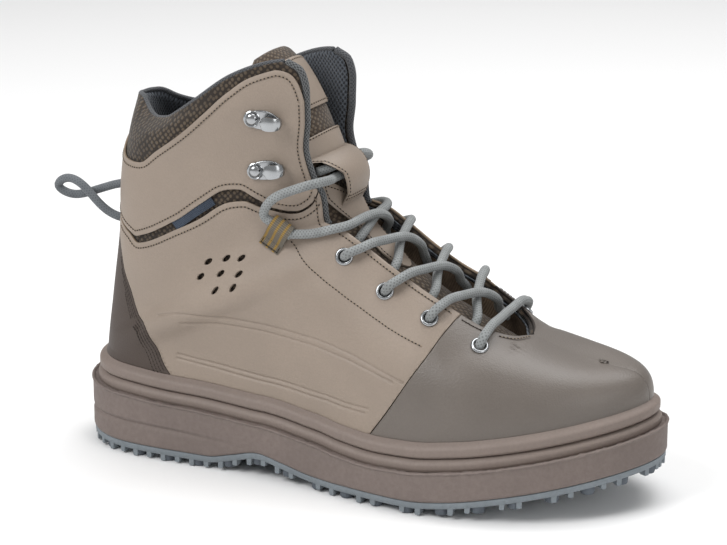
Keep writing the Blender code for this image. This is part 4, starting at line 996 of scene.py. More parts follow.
def ridge_evened(points, u, w, rounds=40):
    """Evens the grid along the toe's ridge and round the throat's end."""
    weight = np.clip((u - 0.755) / 0.03, 0, 1)[:, None] * np.clip((w - 0.74) / 0.10, 0, 1)[None, :]
    weight[:, -1] = np.clip((u - THROAT_U - 0.02) / 0.02, 0, 1)
    weight[-3:] = 0
    for _ in range(rounds):
        along, across = points.copy(), points.copy()
        along[1:-1] = 0.25 * points[:-2] + 0.5 * points[1:-1] + 0.25 * points[2:]
        across[:, 1:-1] = 0.25 * points[:, :-2] + 0.5 * points[:, 1:-1] + 0.25 * points[:, 2:]
        points = points + weight[..., None] * (0.5 * (along + across) - points)
    return points


def evened(points, u, w, reach=0.035, rounds=24):
    """Softens the fold that the ribs leave where they turn from the back seam to the sole's edge."""
    near = np.exp(-(((u - CORNER_U) / reach) ** 2))[:, None] * np.clip(w / 0.05, 0, 1)[None, :]
    for _ in range(rounds):
        mean = points.copy()
        mean[1:-1] = 0.25 * points[:-2] + 0.5 * points[1:-1] + 0.25 * points[2:]
        points = points + near[..., None] * (mean - points)
    return points


class Grid:
    """Fine grid of the upper's outer surface, with its creases; w runs over both sides."""

    def __init__(self, u, w):
        self.u, self.w = u, w
        self.points, self.normals = {}, {}
        for side in (-1, 1):
            points = evened(skin(u[:, None], w[None, :], side), u, w)
            points = ridge_evened(points, u, w) + collar_shift(u, w, side)
            self.points[side] = points + SHIFT
            self.normals[side] = self.facing(points, side)
        for side, line, width, height in CREASES:
            rows = np.array(line)
            t = np.linspace(0, 1, len(rows))
            along = np.linspace(0, 1, 25)
            u_line, w_line = smooth(t, rows[:, 0], along), smooth(t, rows[:, 1], along)
            marks, _ = self.at(side, u_line, w_line)
            depth = height * np.sin(math.pi * np.clip(along, 0.08, 0.92)) ** 0.5
            flat = self.points[side].reshape(-1, 3)
            gap = np.linalg.norm(flat[:, None, :] - marks[None, :, :], axis=2)
            near = gap.argmin(1)
            push = depth[near] * np.exp(-(gap[np.arange(len(flat)), near] / width) ** 2)
            fade = np.clip(self.w / 0.06, 0, 1) * np.clip((1 - self.w) / 0.02, 0, 1)
            push = push.reshape(self.points[side].shape[:2]) * fade[None, :]
            self.points[side] = self.points[side] + push[..., None] * self.normals[side]
        for side in (-1, 1):
            self.normals[side] = self.facing(self.points[side], side)
        for row, seam in ((0, u < CORNER_U), (-1, u > THROAT_U)):
            mean = unit(self.normals[-1][:, row] + self.normals[1][:, row])
            for side in (-1, 1):
                self.normals[side][seam, row] = mean[seam]

    @staticmethod
    def facing(points, side):
        normal = -side * np.cross(np.gradient(points, axis=0), np.gradient(points, axis=1))
        length = np.linalg.norm(normal, axis=-1, keepdims=True)
        return calmed(normal / np.maximum(length, 1e-12))

    def at(self, side, u, w):
        """Point and normal by bilinear reading of the grid."""
        u, w = np.broadcast_arrays(np.asarray(u, float), np.asarray(w, float))
        a = np.clip(np.interp(u, self.u, np.arange(len(self.u))), 0, len(self.u) - 1.001)
        b = np.clip(np.interp(w, self.w, np.arange(len(self.w))), 0, len(self.w) - 1.001)
        i, j = a.astype(int), b.astype(int)
        s, t = (a - i)[..., None], (b - j)[..., None]
        found = []
        for table in (self.points[side], self.normals[side]):
            found.append(
                (1 - s) * (1 - t) * table[i, j] + s * (1 - t) * table[i + 1, j]
                + (1 - s) * t * table[i, j + 1] + s * t * table[i + 1, j + 1]
            )
        return found[0], unit(found[1])

    def lifted(self, side, u, w, height):
        point, normal = self.at(side, u, w)
        return point + height * normal


# Middle and half axes of the shaft seen from above, for the textile's lengths
SHAFT_CENTRE = -0.070
SHAFT_HALF = (0.068, 0.040)


class Layer:
    """Triangles on the grid: rows of point, normal, u, w and side."""

    def __init__(self, rows, faces):
        self.rows, self.faces = rows, faces

    def trimmed(self, inside):
        """The part where inside(u, w) is positive."""
        value = inside(self.rows[:, 6], self.rows[:, 7])
        value = np.where(np.abs(value) < 1e-5, 1e-5, value)
        above = value[self.faces] > 0
        whole = self.faces[above.all(1)]
        mixed = self.faces[above.any(1) & ~above.all(1)]
        rows, crossings, cut = list(self.rows), {}, []
        for face in mixed:
            ring = []
            for a, b in ((face[0], face[1]), (face[1], face[2]), (face[2], face[0])):
                if value[a] > 0:
                    ring.append(int(a))
                if (value[a] > 0) != (value[b] > 0):
                    key = (min(a, b), max(a, b))
                    if key not in crossings:
                        t = np.clip(value[key[0]] / (value[key[0]] - value[key[1]]), 0.04, 0.96)
                        crossings[key] = len(rows)
                        rows.append(self.rows[key[0]] + t * (self.rows[key[1]] - self.rows[key[0]]))
                    ring.append(crossings[key])
            cut.append(ring[:3])
            if len(ring) == 4:
                cut.append([ring[0], ring[2], ring[3]])
        faces = np.vstack([whole, np.array(cut, int).reshape(-1, 3)]) if cut else whole
        used = np.unique(faces)
        place = np.zeros(len(rows), int)
        place[used] = np.arange(len(used))
        return Layer(np.array(rows)[used], place[faces])

    def lifted(self, height):
        normal = unit(self.rows[:, 3:6])
        return self.rows[:, :3] + np.reshape(height, (-1, 1) if np.ndim(height) else ()) * normal

    def cloth_uv(self):
        """Lengths round the shaft, read off an ellipse, and up it, for woven patterns."""
        angle = np.linspace(-math.pi, math.pi, 721)
        ellipse = np.column_stack([SHAFT_HALF[0] * np.cos(angle), SHAFT_HALF[1] * np.sin(angle)])
        turn = np.arctan2(self.rows[:, 1] / SHAFT_HALF[1], (SHAFT_CENTRE - self.rows[:, 0]) / SHAFT_HALF[0])
        return np.column_stack([np.interp(turn, angle, run_lengths(ellipse)), self.rows[:, 2]])

    def border(self):
        """Points along the open edges, about half a millimetre apart."""
        edges = {}
        for face in self.faces:
            for a, b in ((face[0], face[1]), (face[1], face[2]), (face[2], face[0])):
                key = (min(a, b), max(a, b))
                edges[key] = edges.get(key, 0) + 1
        marks = []
        for (a, b), count in edges.items():
            if count == 1:
                for t in (0.0, 0.5):
                    marks.append(self.rows[a, :3] * (1 - t) + self.rows[b, :3] * t)
        return np.array(marks)


def layer(grid, sides=(-1, 1), step=1):
    """Triangles over the grid, both sides welded at the back seam and along the toe's ridge."""
    rows, faces, found = [], [], {}
    picked, across = range(0, len(grid.u), step), range(0, len(grid.w), step)
    for side in sides:
        index = np.zeros((len(picked), len(across)), int)
        for a, i in enumerate(picked):
            for b, j in enumerate(across):
                point = grid.points[side][i, j]
                seam = j == 0 and grid.u[i] < CORNER_U
                seam = seam or (b == len(across) - 1 and grid.u[i] >= THROAT_U - 1e-6)
                key = (i, j) if seam else (i, j, side)
                if key not in found:
                    found[key] = len(rows)
                    rows.append([*point, *grid.normals[side][i, j], grid.u[i], grid.w[j], side])
                index[a, b] = found[key]
        a, b = index[:-1, :-1].ravel(), index[:-1, 1:].ravel()
        c, d = index[1:, 1:].ravel(), index[1:, :-1].ravel()
        pair = np.vstack([np.column_stack([a, b, c]), np.column_stack([a, c, d])])
        faces.append(pair[:, ::-1] if side < 0 else pair)
    faces = np.vstack(faces)
    good = (faces != np.roll(faces, 1, axis=1)).all(1)
    return Layer(np.array(rows), faces[good])


def tree_of(points):
    tree = KDTree(len(points))
    for i, point in enumerate(points):
        tree.insert(point, i)
    tree.balance()
    return tree


def edge_distance(points, marks):
    tree = tree_of(marks)
    return np.array([tree.find(point)[2] for point in points])


def resampled(points, spacing):
    """Points at even steps along a line of points."""
    run = run_lengths(points)
    count = max(2, round(run[-1] / spacing) + 1)
    at = np.linspace(0, run[-1], count)
    return np.column_stack([np.interp(at, run, points[:, k]) for k in range(points.shape[1])])


def tube_shape(points, radius, sides=12):
    """Round cord along points; U runs round it and V along it in metres."""
    points = np.asarray(points, float)
    tangent = unit(np.gradient(points, axis=0))
    normal = unit(np.cross(tangent[0], (0, 0, 1) if abs(tangent[0][2]) < 0.9 else (1, 0, 0)))
    run = run_lengths(points)
    rings, uvs = [], []
    angle = np.linspace(0, 2 * math.pi, sides + 1)
    for k, point in enumerate(points):
        normal = unit(normal - tangent[k] * np.dot(normal, tangent[k]))
        other = np.cross(tangent[k], normal)
        ring = np.cos(angle)[:, None] * normal + np.sin(angle)[:, None] * other
        rings.append(point + radius * ring)
        uvs.append(np.column_stack([angle / (2 * math.pi), np.full(sides + 1, run[k])]))
    faces, wide = [], sides + 1
    for k in range(len(points) - 1):
        for i in range(sides):
            a = k * wide + i
            faces.append((a, a + 1, a + wide + 1, a + wide))
    made = [np.vstack(rings), faces, np.vstack(uvs)]
    for ring, outward in ((0, -1), (len(points) - 1, 1)):
        centre = len(made[0])
        made[0] = np.vstack([made[0], points[ring] + outward * tangent[ring] * radius * 0.5])
        made[2] = np.vstack([made[2], (0.5, run[ring])])
        for a in range(ring * wide, ring * wide + sides):
            faces.append((a + 1, a, centre) if outward < 0 else (a, a + 1, centre))
    return made


# Stitches. A thread: places along it as shares of its length, with its thickness in radii. A
# needle hole, a flat dark mark of painted shade: heights of its two faces, and its half sizes
# across and along in thread radii
THREAD_STATIONS = ((-0.5, 0.25), (-0.36, 0.8), (0.0, 1.0), (0.36, 0.8), (0.5, 0.25))
THREAD_SIDES = 6
THREAD_RADIUS = 0.00030
THREAD_SHARE = 0.60
HOLE_FACES = (-0.0002, 0.00006)
HOLE_SIZE = (1.15, 1.75)


def capped(sides, rings):
    """Faces of a closed body from rings of corners, with a flat face at each end."""
    ends = [tuple(range(sides))[::-1], tuple(range((rings - 1) * sides, rings * sides))]
    return band_faces(sides, rings, False) + ends


def stitch_marks(line, normals, pitch):
    """Threads, and flat dark marks of painted shade at the needle holes, along a line on a surface."""
    length, radius = THREAD_SHARE * pitch, THREAD_RADIUS
    run = run_lengths(line)
    places = np.linspace(0, run[-1], max(2, int(round(run[-1] / pitch)) + 1))
    spots, facing = (
        np.stack([np.interp(places, run, table[:, k]) for k in range(3)], -1) for table in (line, normals)
    )
    facing, threads, holes, ring = unit(facing), [], [], circle(THREAD_SIDES)
    for k in range(len(spots) - 1):
        ahead = unit(spots[k + 1] - spots[k])
        up = unit(facing[k] - ahead * np.dot(facing[k], ahead))
        across = np.cross(up, ahead)
        centre = (spots[k] + spots[k + 1]) / 2
        points = []
        for x, size in THREAD_STATIONS:
            sink = -1.1 * radius * (abs(x) * 2) ** 3
            for a in ring:
                points.append(
                    centre + x * length * ahead + size * radius * math.cos(a) * across
                    + (size * radius * 0.8 * math.sin(a) + sink) * up
                )
        threads.append((np.array(points), capped(THREAD_SIDES, len(THREAD_STATIONS))))
        hole = []
        for height in HOLE_FACES:
            for a in ring:
                flat = HOLE_SIZE[0] * math.cos(a) * across + HOLE_SIZE[1] * math.sin(a) * ahead
                hole.append(spots[k] + height * up + radius * flat)
        holes.append((np.array(hole), capped(THREAD_SIDES, len(HOLE_FACES))))
    return threads, holes


class Seams:
    """Collects the stitches of one thread colour."""

    def __init__(self):
        self.threads, self.holes = [], []

    def row(self, grid, side, u, w, height, inset=0.0):
        """Stitches along a line on the grid, moved sideways by inset, towards growing u for a line in w."""
        u, w = np.broadcast_arrays(np.asarray(u, float), np.asarray(w, float))
        line, normal = grid.at(side, u, w)
        if np.any(inset):
            line = line + np.reshape(inset, (-1, 1)) * np.cross(normal, unit(np.gradient(line, axis=0)))
        self.free(line + height * normal, normal)

    def free(self, line, normal, pitch=STITCH_PITCH):
        threads, holes = stitch_marks(np.asarray(line), np.asarray(normal), pitch)
        self.threads += threads
        self.holes += holes

    def make(self, name, paint, slot):
        piece(f"{name}_threads", *joined(self.threads)[:2], paint, slot)
        # flat dark marks at the needle holes: painted shade
        piece(f"{name}_hole_shade_marks", *joined(self.holes)[:2], "hole", slot, flat=True)


LEATHER_TOP = GAP + LEATHER
SIDES = ((-1, "outer"), (1, "inner"))

# Lines and holes of the leather on the upper's grid, as (u, w) pairs
PERFORATIONS = (
    (0.399, 0.649), (0.407, 0.703), (0.419, 0.741), (0.421, 0.614),
    (0.433, 0.668), (0.451, 0.703), (0.463, 0.610), (0.469, 0.649),
)
# Half length and half width of a perforation, and how far its cutting pin reaches
PERFORATION_SIZE = (0.0027, 0.0013, 0.003)
EMBOSSED_ARC = (
    (0.465, 0.402), (0.471, 0.436), (0.480, 0.455), (0.495, 0.461), (0.521, 0.460), (0.549, 0.456),
    (0.581, 0.454), (0.621, 0.440), (0.663, 0.380),
)
EMBOSSED_ARC_INNER = (
    (0.485, 0.386), (0.500, 0.405), (0.527, 0.411), (0.553, 0.410), (0.587, 0.408), (0.621, 0.402),
    (0.653, 0.366),
)
EMBOSSED_BASE = (
    (0.515, 0.138), (0.537, 0.120), (0.557, 0.116), (0.583, 0.120), (0.615, 0.136), (0.639, 0.151),
)
EMBOSSED_BASE_LOW = (
    (0.517, 0.110), (0.539, 0.090), (0.559, 0.085), (0.585, 0.090), (0.615, 0.106), (0.637, 0.118),
)
EYESTAY_SEAM = (
    (0.425, 0.876), (0.455, 0.862), (0.515, 0.811), (0.557, 0.757), (0.595, 0.718), (0.633, 0.687),
    (0.668, 0.662),
)
COUNTER_EDGE = (
    (0.20, 0.050), (0.26, 0.105), (0.285, 0.151), (0.303, 0.189), (0.319, 0.220), (0.353, 0.268),
    (0.377, 0.305), (0.403, 0.340), (0.429, 0.362), (0.452, 0.354), (0.471, 0.312), (0.491, 0.201),
    (0.507, 0.108), (0.515, 0.046), (0.521, 0.000), (0.54, -0.15),
)


def counter_edge(u):
    """Front edge of the heel counter, finer than the solids' own."""
    knots, values = zip(*COUNTER_EDGE)
    return smooth(knots, np.array(values), np.clip(u, knots[0], knots[-1]))


def line_on(table, count=60):
    rows = np.array(table)
    t, at = np.linspace(0, 1, len(rows)), np.linspace(0, 1, count)
    return smooth(t, rows[:, 0], at), smooth(t, rows[:, 1], at)


def cutter(name, grid, places, turn, *size):
    """Pins at places of both sides, their long axis turned towards a step of u and w."""
    shapes = []
    for side in (-1, 1):
        for u, w in places:
            point, normal = grid.at(side, u, w)
            ahead = grid.at(side, u + turn[0], w + turn[1])[0] - point
            shapes.append(pin_shape(point, normal, unit(ahead - normal * np.dot(ahead, normal)), *size))
    points, faces, _ = joined(shapes)
    mesh = bpy.data.meshes.new(name)
    mesh.from_pydata(points.tolist(), [], faces)
    made = bpy.data.objects.new(name, mesh)
    bpy.context.scene.collection.objects.link(made)
    return made


def drilled(target, tool):
    cut = target.modifiers.new("holes", "BOOLEAN")
    cut.operation = "DIFFERENCE"
    cut.object = tool
    settle(target)


def pin_shape(point, normal, ahead, long_radius, short_radius, reach, sides=20):
    """Oval pin through the leather, for cutting a hole."""
    across = np.cross(normal, ahead)
    angle = circle(sides)
    ring = long_radius * np.cos(angle)[:, None] * ahead + short_radius * np.sin(angle)[:, None] * across
    return np.vstack([point - reach * normal + ring, point + reach * normal + ring]), capped(sides, 2)


# Embossed lines: half width, depth, and the length of edge below which nothing is divided
EMBOSS_HALF = 0.00075
EMBOSS_DEPTH = 0.00100
FINEST_EDGE = 0.00055


def emboss(made, grid, tables):
    """Presses thin lines into a leather sheet, which is made finer there first."""
    half_width, marks = EMBOSS_HALF, []
    for side, table in tables:
        u, w = line_on(table, 220)
        marks.append(grid.lifted(side, u, w, LEATHER_TOP))
    marks = np.vstack(marks)
    tree = tree_of(marks)
    shape = bmesh.new()
    shape.from_mesh(made.data)
    for reach in (3.2 * half_width, 2.0 * half_width):
        near = {v for v in shape.verts if tree.find(v.co)[2] < reach + 0.0012}
        edges = [e for e in shape.edges if e.verts[0] in near or e.verts[1] in near]
        edges = [e for e in edges if e.calc_length() > FINEST_EDGE]
        bmesh.ops.subdivide_edges(shape, edges=edges, cuts=1, use_grid_fill=True)
    shape.normal_update()
    for v in shape.verts:
        gap = tree.find(v.co)[2]
        if gap < 3 * half_width:
            v.co -= v.normal * EMBOSS_DEPTH * math.exp(-((gap / half_width) ** 2))
    bmesh.ops.triangulate(shape, faces=shape.faces)
    shape.to_mesh(made.data)
    shape.free()


def overlay(name, sheet, paint, slot, node, swell=0.0, edge="taupe_edge"):
    """Leather panel over its CAD node; swell is how far its middle rises above its edges."""
    height = np.full(len(sheet.rows), LEATHER_TOP)
    if swell:
        gap = edge_distance(sheet.rows[:, :3], sheet.border())
        height = height + swell * (1 - np.exp(-gap / 0.006))
    made = piece(name, sheet.lifted(height), sheet.faces, paint, slot, sheet.cloth_uv(), edge_paint=edge)
    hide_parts(node)
    return made


def build_overlays(grid):
    """Leather panels, cut along the same lines as the solids, over the textile shell."""
    whole = layer(grid)
    ankle = overlay(
        "ankle_leather",
        whole.trimmed(lambda u, w: u - ankle_top(w)).trimmed(lambda u, w: ankle_bottom(w) - u),
        "taupe", "taupe_leather", "ankle_panel", 0.0005,
    )
    counter = overlay(
        "heel_counter_leather",
        whole.trimmed(lambda u, w: u - ankle_bottom(w) - SEAM_GAP).trimmed(lambda u, w: counter_edge(u) - w),
        "counter", "counter_leather", "heel_counter", 0.0003, "dark_edge",
    )
    toe = overlay(
        "toe_cap_leather", whole.trimmed(lambda u, w: u - toe_line(w)), "toe", "toe_leather", "toe_cap",
        0.0004, "dark_edge",
    )
    quarters = {}
    for side, label in SIDES:
        half = layer(grid, (side,)).trimmed(lambda u, w: u - quarter_top(w))
        half = half.trimmed(lambda u, w: toe_line(w) - SEAM_GAP / 3 - u)
        half = half.trimmed(lambda u, w: w - counter_edge(u) - SEAM_GAP)
        quarters[side] = overlay(
            f"quarter_leather_{label}", half, "taupe", "taupe_leather", f"quarter_{label}", 0.0005,
        )
        arcs = [(side, t) for t in (EMBOSSED_ARC, EMBOSSED_ARC_INNER, EMBOSSED_BASE, EMBOSSED_BASE_LOW)]
        emboss(quarters[side], grid, arcs)
    for made in (ankle, counter, toe, *quarters.values()):
        solid(made, LEATHER - 0.0001, rim=1)
    shell = layer(grid, step=2)
    shell_piece = piece(
        "textile_shell", shell.lifted(0.0), shell.faces, "textile", "textile", shell.cloth_uv(),
    )
    solid(shell_piece, WALL - 0.0008)
    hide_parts("upper")
    eyelet_pins = cutter("eyelet_pins", grid, EYELETS, (0.0, 0.01), EYELET_BORE, EYELET_BORE, 0.008)
    perforation_pins = cutter("perforation_pins", grid, PERFORATIONS, (-0.006, 0.03), *PERFORATION_SIZE)
    for made in quarters.values():
        drilled(made, eyelet_pins)
        drilled(made, perforation_pins)
    drilled(shell_piece, eyelet_pins)
    for tool in (perforation_pins, eyelet_pins):
        bpy.data.objects.remove(tool)


COUNTER_SEAMS = 4


def build_seams(grid):
    """Stitches along the edges of the leather panels."""
    light, dark = Seams(), Seams()
    w = np.linspace(0.0, 1.0, 200)
    top = LEATHER_TOP + 0.0004
    for side, _ in SIDES:
        edge = side * STITCH_EDGE
        light.row(grid, side, ankle_top(w), w, top, edge)
        light.row(grid, side, ankle_bottom(w), w, top, -edge)
        u_front = np.linspace(float(ankle_top(1.0)) + 0.008, float(ankle_bottom(1.0)) - 0.008, 60)
        light.row(grid, side, u_front, np.full(60, 1.0), top, edge)
        here = np.linspace(0.22, 0.985, 200)
        light.row(grid, side, quarter_top(here), here, top, edge)
        u_edge = np.linspace(float(quarter_top(1.0)) + 0.01, 0.675, 160)
        light.row(grid, side, u_edge, np.full(160, 1.0), top, edge)
        u, ww = line_on(EYESTAY_SEAM, 140)
        light.row(grid, side, u, ww, top + 0.0002)
        u = np.linspace(0.692, 0.740, 30)
        dark.row(grid, side, u, np.full(30, 1.0), top, edge)
        u = np.linspace(0.752, THROAT_U - 0.016, 60)
        light.row(grid, side, u, np.full(60, 1.0), top, edge)
        for number in range(COUNTER_SEAMS):
            u_counter = np.linspace(0.33 + 0.02 * number, 0.518, 140)
            spread = np.interp(u_counter, (0.33, 0.50), (0.0009, 0.0019))
            inset = side * (0.0017 + number * spread)
            dark.row(grid, side, u_counter, counter_edge(u_counter), top - 0.0003, inset)
    light.make("taupe_seam", "thread", "taupe_leather")
    dark.make("dark_seam", "dark_thread", "counter_leather")


def seated(grid, side, u, w, tilt, lift):
    """Frame on the creased surface, as placed() gives it on the plain one."""
    frame = placed(side, u, w, tilt, lift)
    moved = grid.at(side, u, w)[0] - skin(u, w, side)
    return Matrix.Translation(Vector(moved)) @ frame


def over(grid, side, u, w, lift):
    """Place above the creased upper; side may also lie between -1 and 1, over the throat."""
    share = (1 + side) / 2
    (low, low_normal), (high, high_normal) = grid.at(-1, u, w), grid.at(1, u, w)
    point = (1 - share) * low + share * high
    normal = (1 - share) * low_normal + share * high_normal
    return point + lift * normal / np.linalg.norm(normal)


def transformed(frame, points):
    turn = np.array(frame)
    return np.asarray(points) @ turn[:3, :3].T + turn[:3, 3]


HARDWARE_LIFT = LEATHER_TOP + 0.0004
# How a lace goes over an eyelet's ring and down its bore: distance from its middle and height
EYELET_DIVE = ((0.0064, 0.0052), (0.0034, 0.0056), (0.0009, 0.0034), (-0.0003, -0.0008), (0.0, -0.0052))
# Strands over the throat: place across it, share of the way from start to end, height
CROSSING_OVER = (
    (-0.93, 0.02, -1.0), (-0.72, 0.08, -0.30), (-0.38, 0.25, 0.55), (0.0, 0.5, 1.02),
    (0.5, 0.75, 0.98), (0.85, 0.90, 0.90),
)
CROSSING_UNDER = (
    (-0.93, 0.02, -1.0), (-0.72, 0.08, -0.40), (-0.38, 0.25, 0.02), (0.0, 0.5, 0.18),
    (0.5, 0.75, 0.48), (0.85, 0.90, 0.76),
)
# End of the last strand, on the leather up to the keeper: u, w and height
KEEPER_RUN = ((0.434, 0.975, 0.84), (0.430, 0.950, 0.80))
TUNNEL_RUN = {-1: 0.366, 1: 0.338}
RUN_SPACING = 0.0014


def keeper_spot(grid, side, y, height=1.0):
    frame = seated(grid, side, *KEEPER, GAP + OVERLAY + KEEPER_SEAT)
    return np.array(frame @ Vector((LACE_PLACE_IN_KEEPER, y, height * LACE_HEIGHT_IN_KEEPER)))


def lace_half(grid, first):
    """Centre line of the lace from the middle of the bar to the keeper, first to the side given."""
    bar = ((0.0, 0.733, 1.0, 0.52), (0.5, 0.734, 1.0, 0.66), (1.0, 0.735, 0.985, 0.84))
    route = [over(grid, share * first, u, w, height * LACE_LIFT) for share, u, w, height in bar]
    side = first
    for number, start in enumerate(CROSSING_STARTS):
        u, w = EYELETS[number]
        centre, normal = grid.at(side, u, w)
        ahead = route[-1] - centre
        ahead = unit(ahead - normal * np.dot(ahead, normal))
        for along, height in EYELET_DIVE:
            route.append(centre + along * ahead + height * normal)
        route.append(over(grid, side, 0.5 * u + 0.5 * start, 0.955, -1.24 * LACE_LIFT))
        last = number == len(CROSSING_STARTS) - 1
        u, w = (0.440, 0.990) if last else EYELETS[number + 1]
        for place, share, height in CROSSING_OVER if side > 0 else CROSSING_UNDER:
            along = (1 - share) * start + share * u
            route.append(over(grid, -side * place, along, 1.0, height * LACE_LIFT))
        side = -side
        if last:
            route += [over(grid, side, u, w, height * LACE_LIFT) for u, w, height in KEEPER_RUN]
        else:
            route.append(over(grid, side, 0.06 * start + 0.94 * u, 0.985, 0.86 * LACE_LIFT))
    route.append(keeper_spot(grid, side, side * (KEEPER_WIDTH / 2 - 0.0008)))
    return np.array(route)


def tube(name, path, radius, paint, slot, sides=14, round_scale=1):
    """Round cord or piping; round_scale is what its uv measures round it."""
    points, faces, uv = tube_shape(path, radius, sides)
    return piece(name, points, faces, paint, slot, uv * (round_scale, 1))


def build_cords(grid):
    """Laces and the pull loop."""
    halves = [along_route(lace_half(grid, side), RUN_SPACING) for side in (-1, 1)]
    run = np.vstack([halves[0][::-1], halves[1][1:]])
    made = tube("lace_run", run, LACE_RADIUS, "lace", "lace_cord")
    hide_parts("lace_bar", *(f"lace_crossing_{k}" for k in range(1, 5)))
    for side, name in SIDES:
        front = KEEPER_WIDTH / 2 + KEEPER_SEAT - 2 * GAP
        route = []
        for y in (-front, 0.0, KEEPER_WIDTH / 2, KEEPER_WIDTH / 2 + 1.6 * LACE_RADIUS):
            route.append(keeper_spot(grid, side, -side * y))
        route += [over(grid, side, u, w, height) for u, w, height in LACE_BOW]
        route += [tongue_point(TUNNEL_RUN[side], -side * s, height) + SHIFT for s, height in TUNNEL_PATH]
        path = along_route(route, RUN_SPACING)
        tail = tube(f"lace_tail_{name}", path, LACE_RADIUS, "lace", "lace_cord")
        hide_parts(f"lace_end_{name}")
        float(run_lengths(path)[-1])
    reach = GAP + OVERLAY + 3 * GAP
    ends = [skin(u, 0.0, -1) + SHIFT + np.array([-reach, across, 0.0]) for u, across in PULL_ENDS]
    path = along_route([ends[0]] + [ends[0] + np.array(step) for step in PULL_ROUTE] + [ends[1]], RUN_SPACING)
    loop = tube("pull_cord", path, PULL_RADIUS, "pull", "lace_cord")
    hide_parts("pull_loop")
    float(run_lengths(path)[-1])


def turned(profile, steps=40):
    """Solid of revolution about Z from a closed profile of (radius, height) pairs."""
    count = len(profile)
    points = np.array([(r * math.cos(a), r * math.sin(a), z) for a in circle(steps) for r, z in profile])
    faces = []
    for k in range(steps):
        for i in range(count):
            j, m = (i + 1) % count, (k + 1) % steps
            faces.append((k * count + i, m * count + i, m * count + j, k * count + j))
    return points, faces


def rounded_ring(inner, outer, low, high, steps=8):
    """Profile of a rolled ring: a flattened half circle on top, then down into the bore."""
    angle = np.linspace(math.pi, 0, steps + 1)
    middle_radius, half = (inner + outer) / 2, (outer - inner) / 2
    top = [(middle_radius + half * math.cos(a), low + (high - low) * math.sin(a) ** 0.8) for a in angle]
    return [(inner, -0.0012)] + [(inner, low)] + top[1:] + [(outer, 0.0), (inner + 0.0003, -0.0002)]


def build_eyelets(grid):
    """Rolled rings in the leather's holes."""
    for side, name in SIDES:
        for number, (u, w) in enumerate(EYELETS, 1):
            inner, outer = EYELET_BORE - 0.0001, EYELET_RADIUS - 0.0004
            points, faces = turned(rounded_ring(inner, outer, 0.0002, EYELET_THICK + 0.0002), 48)
            frame = seated(grid, side, u, w, 0, HARDWARE_LIFT - 0.0001)
            points = transformed(frame, points)
            made = piece(f"eyelet_ring_{name}_{number}", points, faces, "metal", "eyelet_metal")
            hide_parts(f"eyelet_{name}_{number}")


# Rounded edge of a hook's plate: share of its size and of its height
PLATE_EDGE = (
    (1.0, 0.0), (1.0, 0.45), (0.975, 0.78), (0.93, 0.95), (0.86, 1.0), (0.60, 1.0), (0.25, 1.0),
)


def oval_plate(length, width, height, sides=40):
    """Oval plate with a rounded upper edge."""
    angle = circle(sides)
    rings = []
    for share, z in PLATE_EDGE:
        trim = (1 - share) * width / 2
        x = np.cos(angle) * (length / 2 - trim)
        y = np.sign(np.sin(angle)) * np.abs(np.sin(angle)) ** 1.15 * (width / 2 - trim)
        rings.append(np.column_stack([x, y, np.full(sides, z * height)]))
    return np.vstack(rings), capped(sides, len(rings))


def dome(radius, height, base, sides=28, rows=8):
    points = []
    for k in range(rows):
        t = k / rows * math.pi / 2
        flat = radius * math.cos(t) ** 0.85
        for a in circle(sides):
            points.append((flat * math.cos(a), flat * math.sin(a), base + height * math.sin(t)))
    points.append((0, 0, base + height))
    faces = band_faces(sides, rows, False)
    for i in range(sides):
        faces.append(((rows - 1) * sides + i, (rows - 1) * sides + (i + 1) % sides, rows * sides))
    faces.append(tuple(range(sides))[::-1])
    return np.array(points), faces


# Hook's bent tongue: place along the plate and height, and half its width, as shares
NOSE_BEND = (
    (0.34, 0.05), (0.43, 0.12), (0.485, 0.34), (0.47, 0.66), (0.38, 0.92), (0.24, 1.0),
    (0.12, 0.93), (0.03, 0.80),
)
NOSE_HALF = (0.22, 0.24, 0.26, 0.29, 0.33, 0.36, 0.33, 0.20)


def hook_nose():
    """Tongue of metal that rises at the front of the plate and bends back over it."""
    t, at = np.linspace(0, 1, len(NOSE_BEND)), np.linspace(0, 1, 34)
    rows = np.array(NOSE_BEND)
    x = smooth(t, rows[:, 0], at) * HOOK_LENGTH
    z = HOOK_PLATE * 0.6 + smooth(t, rows[:, 1], at) * HOOK_REACH
    half = smooth(t, np.array(NOSE_HALF), at) * HOOK_WIDTH
    half = half * np.clip(np.sqrt(np.clip((1 - at) / 0.10, 0, 1)), 0.25, 1)
    across = np.linspace(-1, 1, 13)
    slope = unit(np.gradient(np.column_stack([x, z]), axis=0))
    outward = np.column_stack([slope[:, 1], -slope[:, 0]])
    top, low = [], []
    for k in range(len(at)):
        for c in across:
            crown = 0.00055 * (1 - c * c)
            thick = HOOK_PLATE * 0.95
            for store, lift in ((top, crown + thick), (low, crown)):
                store.append((x[k] + outward[k, 0] * lift, half[k] * c, z[k] + outward[k, 1] * lift))
    return np.array(top), np.array(low), (len(at), len(across))


def sheet_pair(top, low, size):
    """Closed solid between two equal grids of points."""
    rows, columns = size
    count = rows * columns
    faces = []
    for i in range(rows - 1):
        for j in range(columns - 1):
            a = i * columns + j
            faces.append((a, a + columns, a + columns + 1, a + 1))
            faces.append((count + a, count + a + 1, count + a + columns + 1, count + a + columns))
    rim = [i * columns for i in range(rows)] + [(rows - 1) * columns + j for j in range(1, columns)]
    rim += [i * columns + columns - 1 for i in range(rows - 2, -1, -1)] + list(range(columns - 2, 0, -1))
    for a, b in zip(rim, rim[1:] + rim[:1]):
        faces.append((b, a, count + a, count + b))
    return np.vstack([top, low]), faces


RIVET_PLACE = 0.27 * HOOK_LENGTH
# Ring round the rivet: shares of RIVET_RADIUS and of HOOK_PLATE
RIVET_RING = ((1.0, 1.0), (1.22, 1.30), (1.38, 1.0), (1.2, 0.8))


